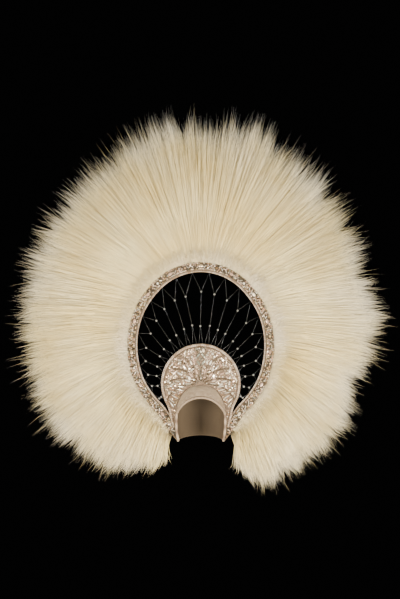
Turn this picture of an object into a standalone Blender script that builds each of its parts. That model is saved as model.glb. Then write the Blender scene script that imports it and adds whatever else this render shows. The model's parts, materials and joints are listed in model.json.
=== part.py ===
"""Carnival feather headdress: a cap with a jewelled plaque and an upright ring of long feathers.

Metres, +Z up. The front faces -Y and the wearer's left is +X. The origin is the crown of the
head inside the cap, so all that lies on the head hangs below it.
"""
import bisect
import math

import bmesh
import bpy
import numpy as np
from mathutils import Matrix, Vector

for leftover in list(bpy.data.objects):
    bpy.data.objects.remove(leftover, do_unlink=True)

# Gap between pieces that touch, and the distance at which equal corners are merged
CLEARANCE = 0.0003
MERGE = 0.00001

# Head form that the cap fits: a rounded box between an ellipsoid and a block
HEAD_WIDTH = 0.164
HEAD_DEPTH = 0.194
HEAD_HEIGHT = 0.250
HEAD_ROUNDNESS = 2.3

# Cap: cloth wall, the seam between its crown and its sides, how far it comes down the sides and
# the nape, and its face opening
CAP_WALL = 0.0025
CAP_SEAM_DROP = 0.034
CAP_SIDE_DROP = 0.186
CAP_NAPE_DROP = 0.165
FACE_ARCH_RADIUS = 0.086
FACE_ARCH_DROP = 0.130
CAP_SIDE_REACH = 0.040
CAP_COLUMNS = 24
CAP_ROWS = 7
ROWS_BELOW_CAP = 3

# Padded roll along the cap's face opening
ROLL_DIAMETER = 0.008
ROLL_ARCH_STEPS = 20
ROLL_SIDE_STEPS = 4

# Plaque: a bent crescent board that stands on the brow, its tails running down the cap's sides
BOARD_RADIUS = 0.119
BOARD_THICKNESS = 0.004
BOARD_FORWARD = 0.044
BOARD_BEND_RADIUS = 0.300
BOARD_CENTRE_DROP = 0.001
PLAQUE_PIVOT_DROP = 0.075
TAIL_WIDTH = 0.022
TAIL_START_ANGLE = math.radians(80.0)
TAIL_END_ANGLE = math.radians(128.0)
PLAQUE_PIPING_DIAMETER = 0.009
PLAQUE_STEPS = 20
BOARD_STEPS = 17
PLAQUE_FIELD_STEPS = 15
PLATE_ROWS = 2
CORNER_SHARPNESS = 24.0

# Jewels: a thin setting with cut stones fused to it
SETTING_THICKNESS = 0.0015
STONE_HEIGHT = 0.0022
STONE_SINK = 0.0006
STONE_TABLE = 0.62
BAGUETTE_LENGTH = 0.020
BAGUETTE_WIDTH = 0.0065
MARQUISE_LENGTH = 0.021
MARQUISE_WIDTH = 0.0085
ROUND_STONE = 0.0085
OVAL_LENGTH = 0.016
OVAL_WIDTH = 0.010

# Rows of stones that fan out over the plaque from the middle of its base
# Columns: distance from the fan's focus as a share of BOARD_RADIUS, degrees from upright to the
# first stone and to the last, stones on each side, and kind of stone
PLAQUE_FAN = (
    (0.890, 0.0, 105.0, 6, "round"),
    (0.640, 24.0, 82.0, 4, "baguette"),
    (0.370, 18.0, 74.0, 3, "baguette"),
)
LOZENGE_RISE = 0.690
LOZENGE_HALF_WIDTH = 0.0080
LOZENGE_HALF_HEIGHT = 0.0115
LOZENGE_TURN = math.radians(34.0)

# Ring: an upright band round the plaque, open at the bottom, where its feet stand on the cap
RING_RADIUS = 0.205
RING_FOOT_DROP = 0.159
RING_FOOT_ANGLE = 170.0
RING_SETBACK = 0.006
RING_PIPING_DIAMETER = 0.0055
BAND_WIDTH = 0.027
BAND_THICKNESS = 0.008
BAND_FIELD_WIDTH = 0.021
BAND_STEPS = 23
BAND_STONES = 25
BAND_STONE_SPREAD = math.radians(156.0)

# Opening of the ring. Columns: degrees from the top, and radius as a share of RING_RADIUS
RING_OPENING = (
    (0.0, 1.013),
    (15.0, 1.005),
    (30.0, 0.990),
    (50.0, 0.966),
    (70.0, 0.971),
    (90.0, 0.995),
    (110.0, 1.049),
    (130.0, 1.137),
    (142.0, 1.190),
    (154.0, 1.268),
    (164.0, 1.424),
    (170.0, 1.551),
    (176.0, 1.640),
)
RING_END_ANGLE = 175.0

# Net of beaded threads between the plaque and the ring
NET_SIDE_STRANDS = 10
NET_SPREAD = math.radians(108.0)
NET_EVENNESS = 0.80
NET_WIRE = 0.0012
NET_BEAD = 0.0072
FIRST_BEAD = 0.26
SECOND_BEAD = 0.70
BEAD_SIDES = 10
WIRE_SIDES = 6
THREAD_SIDES = 5

# Plumes: sixteen bundles of long feathers rooted behind the ring's band
PLUMES = 16
PLUME_END_ANGLE = math.radians(165.0)
PLUME_REACH = 0.690
PLUME_THICKNESS = 0.100
PLUME_SEAT = 0.0008
LOCKS = 3
VALLEY_LENGTH = 0.90
VALLEY_THICKNESS = 0.80
LOCK_VARIATION = 0.03

# How the feathers fan out. Columns: degrees from the top at a feather's root, and at its tip
FAN_SPREAD = (
    (0.0, 0.0),
    (15.0, 24.0),
    (30.0, 42.0),
    (45.0, 58.0),
    (60.0, 71.5),
    (75.0, 83.0),
    (90.0, 94.0),
    (105.0, 108.0),
    (120.0, 124.5),
    (135.0, 139.5),
    (150.0, 151.5),
    (165.0, 160.4),
)

# Tips of the plumes on the wearer's right and left. Columns: degrees from the top, and distance
# from the ring's centre as a share of PLUME_REACH
TIPS_RIGHT_SIDE = (
    (0.0, 1.058),
    (15.0, 1.029),
    (30.0, 1.000),
    (45.0, 0.942),
    (60.0, 0.914),
    (75.0, 0.893),
    (90.0, 0.870),
    (110.0, 0.877),
    (130.0, 0.852),
    (145.0, 0.790),
    (157.0, 0.710),
)
TIPS_LEFT_SIDE = (
    (0.0, 1.058),
    (15.0, 1.036),
    (30.0, 1.000),
    (45.0, 0.942),
    (60.0, 0.887),
    (75.0, 0.870),
    (90.0, 0.874),
    (110.0, 0.794),
    (130.0, 0.826),
    (145.0, 0.814),
    (157.0, 0.775),
)

# Sections along a plume past the band. Columns: share of the way to the tip, and the reach to
# the front and to the back of the band's rear face, as shares of PLUME_THICKNESS
PLUME_SECTIONS = (
    (0.15, 0.34, 0.36),
    (0.40, 0.48, 0.52),
    (0.70, 0.38, 0.46),
    (1.00, -0.13, 0.16),
)
ROOT_BACK = 0.16
EDGE_BACK = 0.18

headdress = bpy.data.collections.new("feather_headdress")
cutters = bpy.data.collections.new("cutters")
bpy.context.scene.collection.children.link(headdress)
bpy.context.scene.collection.children.link(cutters)


# Materials

def finish(name, colour, roughness, metallic=0.0):
    """A plain surface of one colour."""
    material = bpy.data.materials.new(name)
    material.use_nodes = True
    shader = material.node_tree.nodes["Principled BSDF"]
    shader.inputs["Base Color"].default_value = (*colour, 1.0)
    shader.inputs["Roughness"].default_value = roughness
    shader.inputs["Metallic"].default_value = metallic
    return material


# Shared shapes

def smooth(table, at):
    """The value of a table's second column at a place in its first, on a curve through its rows."""
    places = [row[0] for row in table]
    values = [row[1] for row in table]
    slopes = np.gradient(values, places)
    at = min(max(at, places[0]), places[-1])
    first = min(bisect.bisect_right(places, at) - 1, len(places) - 2)
    gap = places[first + 1] - places[first]
    t = (at - places[first]) / gap
    rise = values[first + 1] - values[first]
    start = slopes[first] * gap
    end = slopes[first + 1] * gap
    return values[first] + t * start + t * t * (3 * rise - 2 * start - end) + t**3 * (start + end - 2 * rise)


def halve(inside, low, high):
    """The place between low and high where inside() turns false, found by halving."""
    for _ in range(40):
        middle = (low + high) / 2
        if inside(middle):
            low = middle
        else:
            high = middle
    return low


def piece_from(bm, name, material, collection=headdress, flat=False):
    """An object from a bmesh, its faces turned outwards and, unless they are flat, in triangles."""
    bmesh.ops.recalc_face_normals(bm, faces=bm.faces)
    if not flat:
        bmesh.ops.triangulate(bm, faces=bm.faces)
    mesh = bpy.data.meshes.new(name)
    bm.to_mesh(mesh)
    bm.free()
    mesh.materials.append(material)
    piece = bpy.data.objects.new(name, mesh)
    collection.objects.link(piece)
    return piece


def slab(name, columns, rows, place, material, flat=False):
    """A closed slab. place(u, v, w) puts its corners: u and v run over its face, w through it."""
    bm = bmesh.new()
    bmesh.ops.create_grid(bm, x_segments=columns, y_segments=rows, size=0.5)
    grown = bmesh.ops.extrude_face_region(bm, geom=bm.faces[:], use_keep_orig=True)
    for item in grown["geom"]:
        if isinstance(item, bmesh.types.BMVert):
            item.co.z = 1.0
    for vertex in bm.verts:
        u = min(max(vertex.co.x + 0.5, 0.0), 1.0)
        v = min(max(vertex.co.y + 0.5, 0.0), 1.0)
        vertex.co = place(u, v, vertex.co.z)
    return piece_from(bm, name, material, flat=flat)


def tube(name, points, diameter, material, sides=8):
    """A round cord along a chain of points, as a mesh with closed ends."""
    curve = bpy.data.curves.new(name, "CURVE")
    curve.dimensions = "3D"
    curve.bevel_depth = diameter / 2
    curve.bevel_resolution = max(sides // 2 - 2, 0)
    curve.use_fill_caps = True
    spline = curve.splines.new("POLY")
    spline.points.add(len(points) - 1)
    for control, point in zip(spline.points, points):
        control.co = (*point, 1.0)
    guide = bpy.data.objects.new(name + "_guide", curve)
    cutters.objects.link(guide)
    evaluated = guide.evaluated_get(bpy.context.evaluated_depsgraph_get())
    mesh = bpy.data.meshes.new_from_object(evaluated)
    bpy.data.objects.remove(guide, do_unlink=True)
    bm = bmesh.new()
    bm.from_mesh(mesh)
    bpy.data.meshes.remove(mesh)
    bmesh.ops.remove_doubles(bm, verts=bm.verts, dist=MERGE)
    return piece_from(bm, name, material)


def cutter_from(bm, name, flat=False):
    """A hidden solid that others are cut or fused with."""
    cutter = piece_from(bm, name, cloth, cutters, flat)
    cutter.hide_render = True
    cutter.display_type = "WIRE"
    return cutter


def combine(piece, other, operation, crossing=False):
    """Cut one solid with another, or fuse the two."""
    change = piece.modifiers.new(other.name, "BOOLEAN")
    change.operation = operation
    change.object = other
    change.solver = "EXACT"
    change.use_self = crossing


# Head form

HEAD_CENTRE_Z = -HEAD_HEIGHT / 2


def level(x, y, z, grow):
    """Below 1 inside the head form grown by a distance, 1 on its surface."""
    return (
        abs(x / (HEAD_WIDTH / 2 + grow)) ** HEAD_ROUNDNESS
        + abs(y / (HEAD_DEPTH / 2 + grow)) ** HEAD_ROUNDNESS
        + abs((z - HEAD_CENTRE_Z) / (HEAD_HEIGHT / 2 + grow)) ** HEAD_ROUNDNESS
    )


def front_y(x, z):
    """Depth of the cap's outside at the front."""
    left = max(1.0 - level(x, 0.0, z, CAP_WALL), 0.0)
    return -(HEAD_DEPTH / 2 + CAP_WALL) * left ** (1 / HEAD_ROUNDNESS)


def side_x(y, z):
    """Half width of the cap's outside."""
    left = max(1.0 - level(0.0, y, z, CAP_WALL), 0.0)
    return (HEAD_WIDTH / 2 + CAP_WALL) * left ** (1 / HEAD_ROUNDNESS)


# Cap and its roll

ARCH_CENTRE_Z = -FACE_ARCH_DROP


def arch_point(angle):
    """A point of the face opening's arch on the cap's outside, by its angle from the top."""
    x = FACE_ARCH_RADIUS * math.sin(angle)
    z = ARCH_CENTRE_Z + FACE_ARCH_RADIUS * math.cos(angle)
    return Vector((x, front_y(x, z), z))


ARCH_END = halve(lambda angle: arch_point(angle).y < -CAP_SIDE_REACH, 0.0, math.pi / 2)


def rim_z(azimuth):
    """Height of the cap's lower edge: level at the sides, higher at the nape."""
    towards_nape = max(0.0, -math.cos(azimuth)) ** 2
    return -(CAP_SIDE_DROP + (CAP_NAPE_DROP - CAP_SIDE_DROP) * towards_nape)


def form_grid(grow, rows_below):
    """The head form's surface: a column for each azimuth, rows from the crown to the cap's rim.

    Rows below the rim close the form at its lower end.
    """
    bm = bmesh.new()
    rows = CAP_ROWS + rows_below
    bmesh.ops.create_grid(bm, x_segments=CAP_COLUMNS, y_segments=rows, size=0.5)
    half_height = HEAD_HEIGHT / 2 + grow
    for vertex in bm.verts:
        azimuth = (vertex.co.x + 0.5) * 2 * math.pi
        lowest = (rim_z(azimuth) - HEAD_CENTRE_Z) / half_height
        rim_turn = math.copysign(math.asin(abs(lowest) ** (HEAD_ROUNDNESS / 2)), lowest)
        row = round((vertex.co.y + 0.5) * rows) - rows_below
        if row >= 0:
            turn = rim_turn + (math.pi / 2 - rim_turn) * row / CAP_ROWS
        else:
            turn = rim_turn + (math.pi / 2 + rim_turn) * row / rows_below
        rise = math.copysign(abs(math.sin(turn)) ** (2 / HEAD_ROUNDNESS), turn) * half_height
        spread = max(math.cos(turn), 0.0) ** (2 / HEAD_ROUNDNESS)
        outwards = Vector((math.sin(azimuth), -math.cos(azimuth), 0.0))
        reach = level(outwards.x, outwards.y, HEAD_CENTRE_Z, grow) ** (-1 / HEAD_ROUNDNESS)
        vertex.co = outwards * reach * spread + Vector((0.0, 0.0, HEAD_CENTRE_Z + rise))
    bmesh.ops.remove_doubles(bm, verts=bm.verts, dist=MERGE)
    return bm


def cap_shell(name, low, high):
    """A part of the cloth cap: the head form's upper part, walled inwards, with its face cut out.

    What lies between the two heights belongs to the cap's other part and is cut away.
    """
    cap = piece_from(form_grid(CAP_WALL, 0), name, cloth)
    wall = cap.modifiers.new("wall", "SOLIDIFY")
    wall.thickness = CAP_WALL
    wall.offset = -1.0
    wall.use_even_offset = True
    combine(cap, face, "DIFFERENCE")
    bm = bmesh.new()
    size = Matrix.Diagonal((2 * HEAD_WIDTH, 2 * HEAD_DEPTH, high - low, 1.0))
    bmesh.ops.create_cube(bm, size=1.0, matrix=Matrix.Translation((0.0, 0.0, (low + high) / 2)) @ size)
    combine(cap, cutter_from(bm, name + "_seam"), "DIFFERENCE")
    return cap


def face_cutter():
    """An arched block ahead of the cap's side edges."""
    far = HEAD_WIDTH + HEAD_DEPTH
    floor_z = -2 * HEAD_HEIGHT
    outline = [Vector((-far, 0.0, arch_point(ARCH_END).z)), Vector((-far, 0.0, floor_z))]
    outline += [Vector((far, 0.0, floor_z)), Vector((far, 0.0, arch_point(ARCH_END).z))]
    for step in range(ROLL_ARCH_STEPS + 1):
        point = arch_point(ARCH_END * (1 - 2 * step / ROLL_ARCH_STEPS))
        outline.append(Vector((point.x, 0.0, point.z)))
    bm = bmesh.new()
    face = bm.faces.new([bm.verts.new(Vector((p.x, -CAP_SIDE_REACH, p.z))) for p in outline])
    grown = bmesh.ops.extrude_face_region(bm, geom=[face], use_keep_orig=True)
    for item in grown["geom"]:
        if isinstance(item, bmesh.types.BMVert):
            item.co.y = -far
    return cutter_from(bm, "face_cutter")


def edge_path():
    """The outer edge of the face opening, from one side's rim over the brow to the other's."""
    arch = [arch_point(ARCH_END * (2 * step / ROLL_ARCH_STEPS - 1)) for step in range(ROLL_ARCH_STEPS + 1)]
    side = []
    for step in range(1, ROLL_SIDE_STEPS + 1):
        z = arch[-1].z + (-CAP_SIDE_DROP - arch[-1].z) * step / ROLL_SIDE_STEPS
        side.append(Vector((side_x(-CAP_SIDE_REACH, z), -CAP_SIDE_REACH, z)))
    other = [Vector((-point.x, point.y, point.z)) for point in reversed(side)]
    return other + arch + side


def outwards_at(point):
    """The head form's outward direction at a point, from the slope of its level."""
    step = CLEARANCE
    slope = []
    for axis in range(3):
        ahead, behind = point.copy(), point.copy()
        ahead[axis] += step
        behind[axis] -= step
        slope.append(level(*ahead, CAP_WALL) - level(*behind, CAP_WALL))
    return Vector(slope).normalized()


def brow_roll():
    """The padded roll lies against the edge of the face opening, one radius ahead of it."""
    edge = edge_path()
    centre = []
    for number, point in enumerate(edge):
        along = edge[min(number + 1, len(edge) - 1)] - edge[max(number - 1, 0)]
        forwards = along.cross(outwards_at(point)).normalized()
        if forwards.y > 0:
            forwards.negate()
        centre.append(point + forwards * (ROLL_DIAMETER / 2 + CLEARANCE))
    return tube("brow_roll", centre, ROLL_DIAMETER, padded_cloth)


def form_cutter():
    """The head in its cap, closed, grown by the clearance: what stands on the cap is cut with it."""
    return cutter_from(form_grid(CAP_WALL + CLEARANCE, ROWS_BELOW_CAP), "form_cutter")


# Plaque

PIPING_SEAT = PLAQUE_PIPING_DIAMETER / 2 + CLEARANCE
PLAQUE_PIVOT = Vector((0.0, 0.0, -PLAQUE_PIVOT_DROP))


def board_y(x, depth):
    """Depth of the bent board at a distance from its middle, counted back from its front face."""
    return -BOARD_FORWARD + depth + x * x / (2 * BOARD_BEND_RADIUS)


def from_pivot(angle, radius):
    """A place on the plaque's outline drawing, by angle from upright and distance from its pivot."""
    return PLAQUE_PIVOT + Vector((radius * math.sin(angle), 0.0, radius * math.cos(angle)))


def cap_radius(angle):
    """Distance from the pivot at which the board leaves the cap."""
    def inside(radius):
        point = from_pivot(angle, radius)
        return level(point.x, board_y(point.x, BOARD_THICKNESS), point.z, CAP_WALL) < 1.0
    return halve(inside, 0.0, HEAD_WIDTH + HEAD_HEIGHT)


def rim_radius(angle):
    """Distance from the pivot to the piping's middle: a round disc, then tails along the cap."""
    offset = PLAQUE_PIVOT_DROP - BOARD_CENTRE_DROP
    across = (BOARD_RADIUS + PIPING_SEAT) ** 2 - (offset * math.sin(angle)) ** 2
    disc = offset * math.cos(angle) + math.sqrt(max(across, 0.0))
    share = (abs(angle) - TAIL_START_ANGLE) / (TAIL_END_ANGLE - TAIL_START_ANGLE)
    tail = TAIL_WIDTH * (1 - min(max(share, 0.0), 1.0))
    side = cap_radius(angle) + PIPING_SEAT + tail
    return (disc**CORNER_SHARPNESS + side**CORNER_SHARPNESS) ** (1 / CORNER_SHARPNESS)


def rim_outline(angle, inwards=0.0):
    """A point of the piping's middle line, or one at a distance inwards, square to the line."""
    step = math.radians(0.5)
    ahead = from_pivot(angle + step, rim_radius(angle + step))
    along = ahead - from_pivot(angle - step, rim_radius(angle - step))
    normal = Vector((along.z, 0.0, -along.x)).normalized()
    return from_pivot(angle, rim_radius(angle)) + normal * inwards


def rim_point(angle):
    """A point of the piping's middle line at the board's depth."""
    point = rim_outline(angle)
    return Vector((point.x, board_y(point.x, BOARD_THICKNESS / 2), point.z))


def crescent(name, steps, front, back, material):
    """A bent plate between the cap and the piping, from a front depth to a back depth."""
    half = TAIL_END_ANGLE * steps / PLAQUE_STEPS

    def place(u, v, w):
        angle = half * (2 * u - 1)
        outer = rim_outline(angle, PIPING_SEAT)
        inner = from_pivot(angle, cap_radius(angle) - HEAD_WIDTH / 8)
        point = inner + (outer - inner) * v
        return Vector((point.x, board_y(point.x, front + (back - front) * w), point.z))
    plate = slab(name, 2 * steps, PLATE_ROWS, place, material)
    combine(plate, form, "DIFFERENCE")
    return plate


def plaque_piping():
    """The cord that edges the plaque, down to the ends of its tails."""
    angles = [TAIL_END_ANGLE * step / PLAQUE_STEPS for step in range(-PLAQUE_STEPS, PLAQUE_STEPS + 1)]
    return tube("plaque_piping", [rim_point(angle) for angle in angles], PLAQUE_PIPING_DIAMETER, padded_cloth)


# Stones

STONE_SIZES = {
    "round": (ROUND_STONE, ROUND_STONE),
    "oval": (OVAL_LENGTH, OVAL_WIDTH),
    "baguette": (BAGUETTE_LENGTH, BAGUETTE_WIDTH),
    "marquise": (MARQUISE_LENGTH, MARQUISE_WIDTH),
}


def cut_stone(bm, foot, along, normal, kind):
    """An eight-sided stone with a flat table, its foot sunk into the setting."""
    length, width = STONE_SIZES[kind]
    across = normal.cross(along).normalized()
    turned = Matrix((along.normalized(), across, normal)).transposed().to_4x4()
    sized = Matrix.Diagonal((length / 2, width / 2, 1.0, 1.0))
    depth = STONE_HEIGHT + STONE_SINK
    middle = foot + normal * (depth / 2 - STONE_SINK)
    bmesh.ops.create_cone(
        bm, cap_ends=True, segments=8, radius1=1.0, radius2=STONE_TABLE, depth=depth,
        matrix=Matrix.Translation(middle) @ turned @ sized,
    )


def plaque_stone(bm, x, z, lean, kind):
    """A stone on the bent plaque, its long axis leaning from upright by an angle."""
    tilt = x / BOARD_BEND_RADIUS
    front = Vector((x, board_y(x, -CLEARANCE - SETTING_THICKNESS), z))
    along = Vector((math.sin(lean), math.sin(lean) * tilt, math.cos(lean)))
    cut_stone(bm, front, along, Vector((tilt, -1.0, 0.0)).normalized(), kind)


def plaque_stones():
    """The sunburst: rows of stones that fan out from the base, and a lozenge of four at the top."""
    back = -CLEARANCE
    field = crescent("plaque_stones", PLAQUE_FIELD_STEPS, back - SETTING_THICKNESS, back, jewel)
    focus_z = PLAQUE_PIVOT.z + cap_radius(0.0)
    bm = bmesh.new()
    for share, first, last, count, kind in PLAQUE_FAN:
        radius = share * BOARD_RADIUS
        for number in range(count):
            degrees = first + (last - first) * number / (count - 1)
            for side in ((1,) if degrees == 0.0 else (1, -1)):
                lean = side * math.radians(degrees)
                plaque_stone(bm, radius * math.sin(lean), focus_z + radius * math.cos(lean), lean, kind)
    for across in (1, -1):
        for upwards in (1, -1):
            z = focus_z + LOZENGE_RISE * BOARD_RADIUS + upwards * LOZENGE_HALF_HEIGHT
            plaque_stone(bm, across * LOZENGE_HALF_WIDTH, z, -across * upwards * LOZENGE_TURN, "marquise")
    combine(field, cutter_from(bm, "plaque_stone_set", flat=True), "UNION")
    return field


# Ring

RING_CENTRE_Z = -RING_FOOT_DROP - math.cos(math.radians(RING_FOOT_ANGLE)) * (
    RING_RADIUS * smooth(RING_OPENING, RING_FOOT_ANGLE)
)
TAIL_BACK_Y = rim_point(TAIL_END_ANGLE).y + PLAQUE_PIPING_DIAMETER / 2
BAND_FRONT_Y = TAIL_BACK_Y + RING_SETBACK
BAND_BACK_Y = BAND_FRONT_Y + BAND_THICKNESS
BAND_MIDDLE_Y = (BAND_FRONT_Y + BAND_BACK_Y) / 2
BAND_INNER = RING_PIPING_DIAMETER + CLEARANCE
BAND_OUTER = BAND_INNER + BAND_WIDTH


def around(angle, radius, y=0.0):
    """A point at an angle from the top and a distance from the ring's centre."""
    return Vector((radius * math.sin(angle), y, RING_CENTRE_Z + radius * math.cos(angle)))


def opening_point(angle, y=0.0):
    """A point of the ring's opening."""
    radius = RING_RADIUS * smooth(RING_OPENING, math.degrees(abs(angle)))
    return around(angle, radius, y)


def ring_point(angle, outwards, y):
    """A point at a distance outwards from the ring's opening, square to its edge."""
    step = math.radians(0.5)
    along = opening_point(angle + step) - opening_point(angle - step)
    normal = Vector((-along.z, 0.0, along.x)).normalized()
    return opening_point(angle, y) + normal * outwards


PLUME_CELLS = 2 * LOCKS
BAND_STEP = math.radians(RING_END_ANGLE) / BAND_STEPS


def ring_plate(name, inner, outer, front, back, material):
    """A flat plate that follows the ring between two distances from its opening."""
    def place(u, v, w):
        angle = BAND_STEP * BAND_STEPS * (2 * u - 1)
        return ring_point(angle, inner + (outer - inner) * v, front + (back - front) * w)
    plate = slab(name, 2 * BAND_STEPS, 1, place, material, flat=True)
    combine(plate, form, "DIFFERENCE")
    return plate


def halo_band():
    """The ring's stiff band. Its feet are cut to the cap's sides."""
    return ring_plate("halo_band", BAND_INNER, BAND_OUTER, BAND_FRONT_Y, BAND_BACK_Y, braid)


def halo_stones():
    """The jewelled strip on the band: ovals along it, with round stones between them."""
    back = BAND_FRONT_Y - CLEARANCE
    front = back - SETTING_THICKNESS
    edge = (BAND_WIDTH - BAND_FIELD_WIDTH) / 2
    field = ring_plate("halo_stones", BAND_INNER + edge, BAND_OUTER - edge, front, back, jewel)
    bm = bmesh.new()
    middle = (BAND_INNER + BAND_OUTER) / 2
    for number in range(BAND_STONES):
        angle = BAND_STONE_SPREAD * (2 * number / (BAND_STONES - 1) - 1)
        foot = ring_point(angle, middle, front)
        along = ring_point(angle + BAND_STEP / 2, middle, front) - foot
        cut_stone(bm, foot, along, Vector((0.0, -1.0, 0.0)), "round" if number % 2 else "oval")
    combine(field, cutter_from(bm, "halo_stone_set", flat=True), "UNION")
    return field


def halo_piping():
    """The thin cord along the ring's opening."""
    angles = [BAND_STEP * step for step in range(-BAND_STEPS, BAND_STEPS + 1)]
    points = [ring_point(angle, RING_PIPING_DIAMETER / 2, BAND_MIDDLE_Y) for angle in angles]
    cord = tube("halo_piping", points, RING_PIPING_DIAMETER, padded_cloth, sides=6)
    combine(cord, form, "DIFFERENCE")
    return cord


# Bead net

def polar_reader(points, centre_z):
    """A function that gives an outline's distance from a centre at an angle from the top."""
    angles = [math.atan2(point.x, point.z - centre_z) for point in points]
    radii = [math.hypot(point.x, point.z - centre_z) for point in points]
    return lambda angle: float(np.interp(angle, angles, radii))


def bead(bm, centre):
    """A faceted bead: two blunt cones base to base, one facing forwards."""
    turned = Matrix.Rotation(math.pi / 2, 4, "X")
    bmesh.ops.create_uvsphere(
        bm, u_segments=BEAD_SIDES, v_segments=2, radius=NET_BEAD / 2,
        matrix=Matrix.Translation(centre) @ turned,
    )


def thread(bm, start, end):
    """A straight thread between two points."""
    along = end - start
    turned = along.to_track_quat("Z", "Y").to_matrix().to_4x4()
    bmesh.ops.create_cone(
        bm, cap_ends=True, segments=THREAD_SIDES, radius1=NET_WIRE / 2, radius2=NET_WIRE / 2,
        depth=along.length, matrix=Matrix.Translation((start + end) / 2) @ turned,
    )


def bead_net():
    """Threads that fan out from the plaque, two beads on each, then zigzag to the ring."""
    centre_z = -BOARD_CENTRE_DROP
    fine = [TAIL_END_ANGLE * step / 96 for step in range(-96, 97)]
    rim = polar_reader([rim_point(angle) for angle in fine], centre_z)
    fine = [math.radians(1.6 * step) for step in range(-100, 101)]
    opening = polar_reader([opening_point(angle) for angle in fine], centre_z)
    reach = NET_WIRE / 2 + CLEARANCE

    def net_point(angle, share):
        inner = rim(angle) + PLAQUE_PIPING_DIAMETER / 2 + reach
        outer = opening(angle) - reach
        radius = inner + (outer - inner) * share
        x = radius * math.sin(angle)
        rim_y = board_y(inner * math.sin(angle), BOARD_THICKNESS / 2)
        return Vector((x, rim_y + (BAND_MIDDLE_Y - rim_y) * share, centre_z + radius * math.cos(angle)))

    def strand_angle(number):
        share = number / NET_SIDE_STRANDS
        return NET_SPREAD * (NET_EVENNESS * share + (1 - NET_EVENNESS) * share**3)

    numbers = range(-NET_SIDE_STRANDS, NET_SIDE_STRANDS + 1)
    zigzag = []
    bm = bmesh.new()
    for number in numbers:
        angle = strand_angle(number)
        second = net_point(angle, SECOND_BEAD)
        zigzag.append(second)
        if number < NET_SIDE_STRANDS:
            zigzag.append(net_point(strand_angle(number + 0.5), 1.0))
        bead(bm, net_point(angle, FIRST_BEAD))
        bead(bm, second)
        thread(bm, net_point(angle, 0.0), second)
    net = tube("bead_net", zigzag, NET_WIRE, crystal, WIRE_SIDES)
    combine(net, cutter_from(bm, "bead_set", flat=True), "UNION", crossing=True)
    return net


# Plumes

def tip_radius(angle):
    """Distance of the feathers' tips from the ring's centre at an angle."""
    table = TIPS_LEFT_SIDE if angle > 0 else TIPS_RIGHT_SIDE
    return PLUME_REACH * smooth(table, math.degrees(abs(angle)))


def plume(number):
    """A bundle of feathers in three locks: a root behind the band, a full middle and thin tips."""
    sector = 2 * PLUME_END_ANGLE / PLUMES
    gap = CLEARANCE / RING_RADIUS
    start = -PLUME_END_ANGLE + sector * number
    root_y = BAND_BACK_Y + CLEARANCE
    seat = BAND_OUTER + PLUME_SEAT
    rows = [(BAND_OUTER - BAND_WIDTH / 2, 0.0, 0.0, ROOT_BACK), (seat, 0.0, 0.0, EDGE_BACK)]
    rows += [(seat, *section) for section in PLUME_SECTIONS]

    def place(u, v, w):
        column = round(u * PLUME_CELLS)
        angle = start + sector * u
        if column == 0:
            angle += gap / 2
        if column == PLUME_CELLS:
            angle -= gap / 2
        outwards, share, front, back = rows[round(v * (len(rows) - 1))]
        foot = ring_point(angle, outwards, 0.0)
        sway = math.sin(5.0 * (number * PLUME_CELLS + column)) * LOCK_VARIATION
        tip_angle = math.copysign(math.radians(smooth(FAN_SPREAD, math.degrees(abs(angle)))), angle)
        tip = around(tip_angle, tip_radius(tip_angle) * (1 + sway))
        full = 1.0
        if column % 2 == 0:
            tip = foot + (tip - foot) * VALLEY_LENGTH
            full = VALLEY_THICKNESS
        point = foot + (tip - foot) * share
        if share == 0.0:
            full = 1.0
        middle = (back - front) / 2
        half = (back + front) / 2 * full
        point.y = root_y + PLUME_THICKNESS * (middle + (half if w else -half))
        return point
    return slab(f"plume_{number + 1:02d}", PLUME_CELLS, len(rows) - 1, place, feather)


cloth = finish("gathered blush satin", (0.62, 0.48, 0.37), 0.5)
padded_cloth = finish("cream padded satin", (0.78, 0.68, 0.54), 0.5)
buckram = finish("blush covered buckram", (0.55, 0.43, 0.33), 0.7)
braid = finish("beige braid", (0.42, 0.32, 0.23), 0.7)
jewel = finish("cut glass in silver settings", (0.66, 0.62, 0.55), 0.15, 0.4)
crystal = finish("crystal beads on silver thread", (0.75, 0.74, 0.72), 0.1, 0.3)
feather = finish("cream feathers", (0.80, 0.72, 0.56), 0.8)

form = form_cutter()
face = face_cutter()
cap_shell("cap_crown", -2 * HEAD_HEIGHT, -CAP_SEAM_DROP)
cap_shell("cap_sides", -CAP_SEAM_DROP - CLEARANCE, HEAD_HEIGHT)
brow_roll()
crescent("plaque_board", BOARD_STEPS, 0.0, BOARD_THICKNESS, buckram)
plaque_piping()
plaque_stones()
halo_band()
halo_stones()
halo_piping()
bead_net()
for number in range(PLUMES):
    plume(number)
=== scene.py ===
"""Looks of the carnival feather headdress, made round its solids.

Metres, in the solids' own frame: +Z up, the front faces -Y, the origin is the crown of the head.
Every surface is worked out as whole arrays: a function of two parameters, or a profile along a path.
"""

import json
import math

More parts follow.
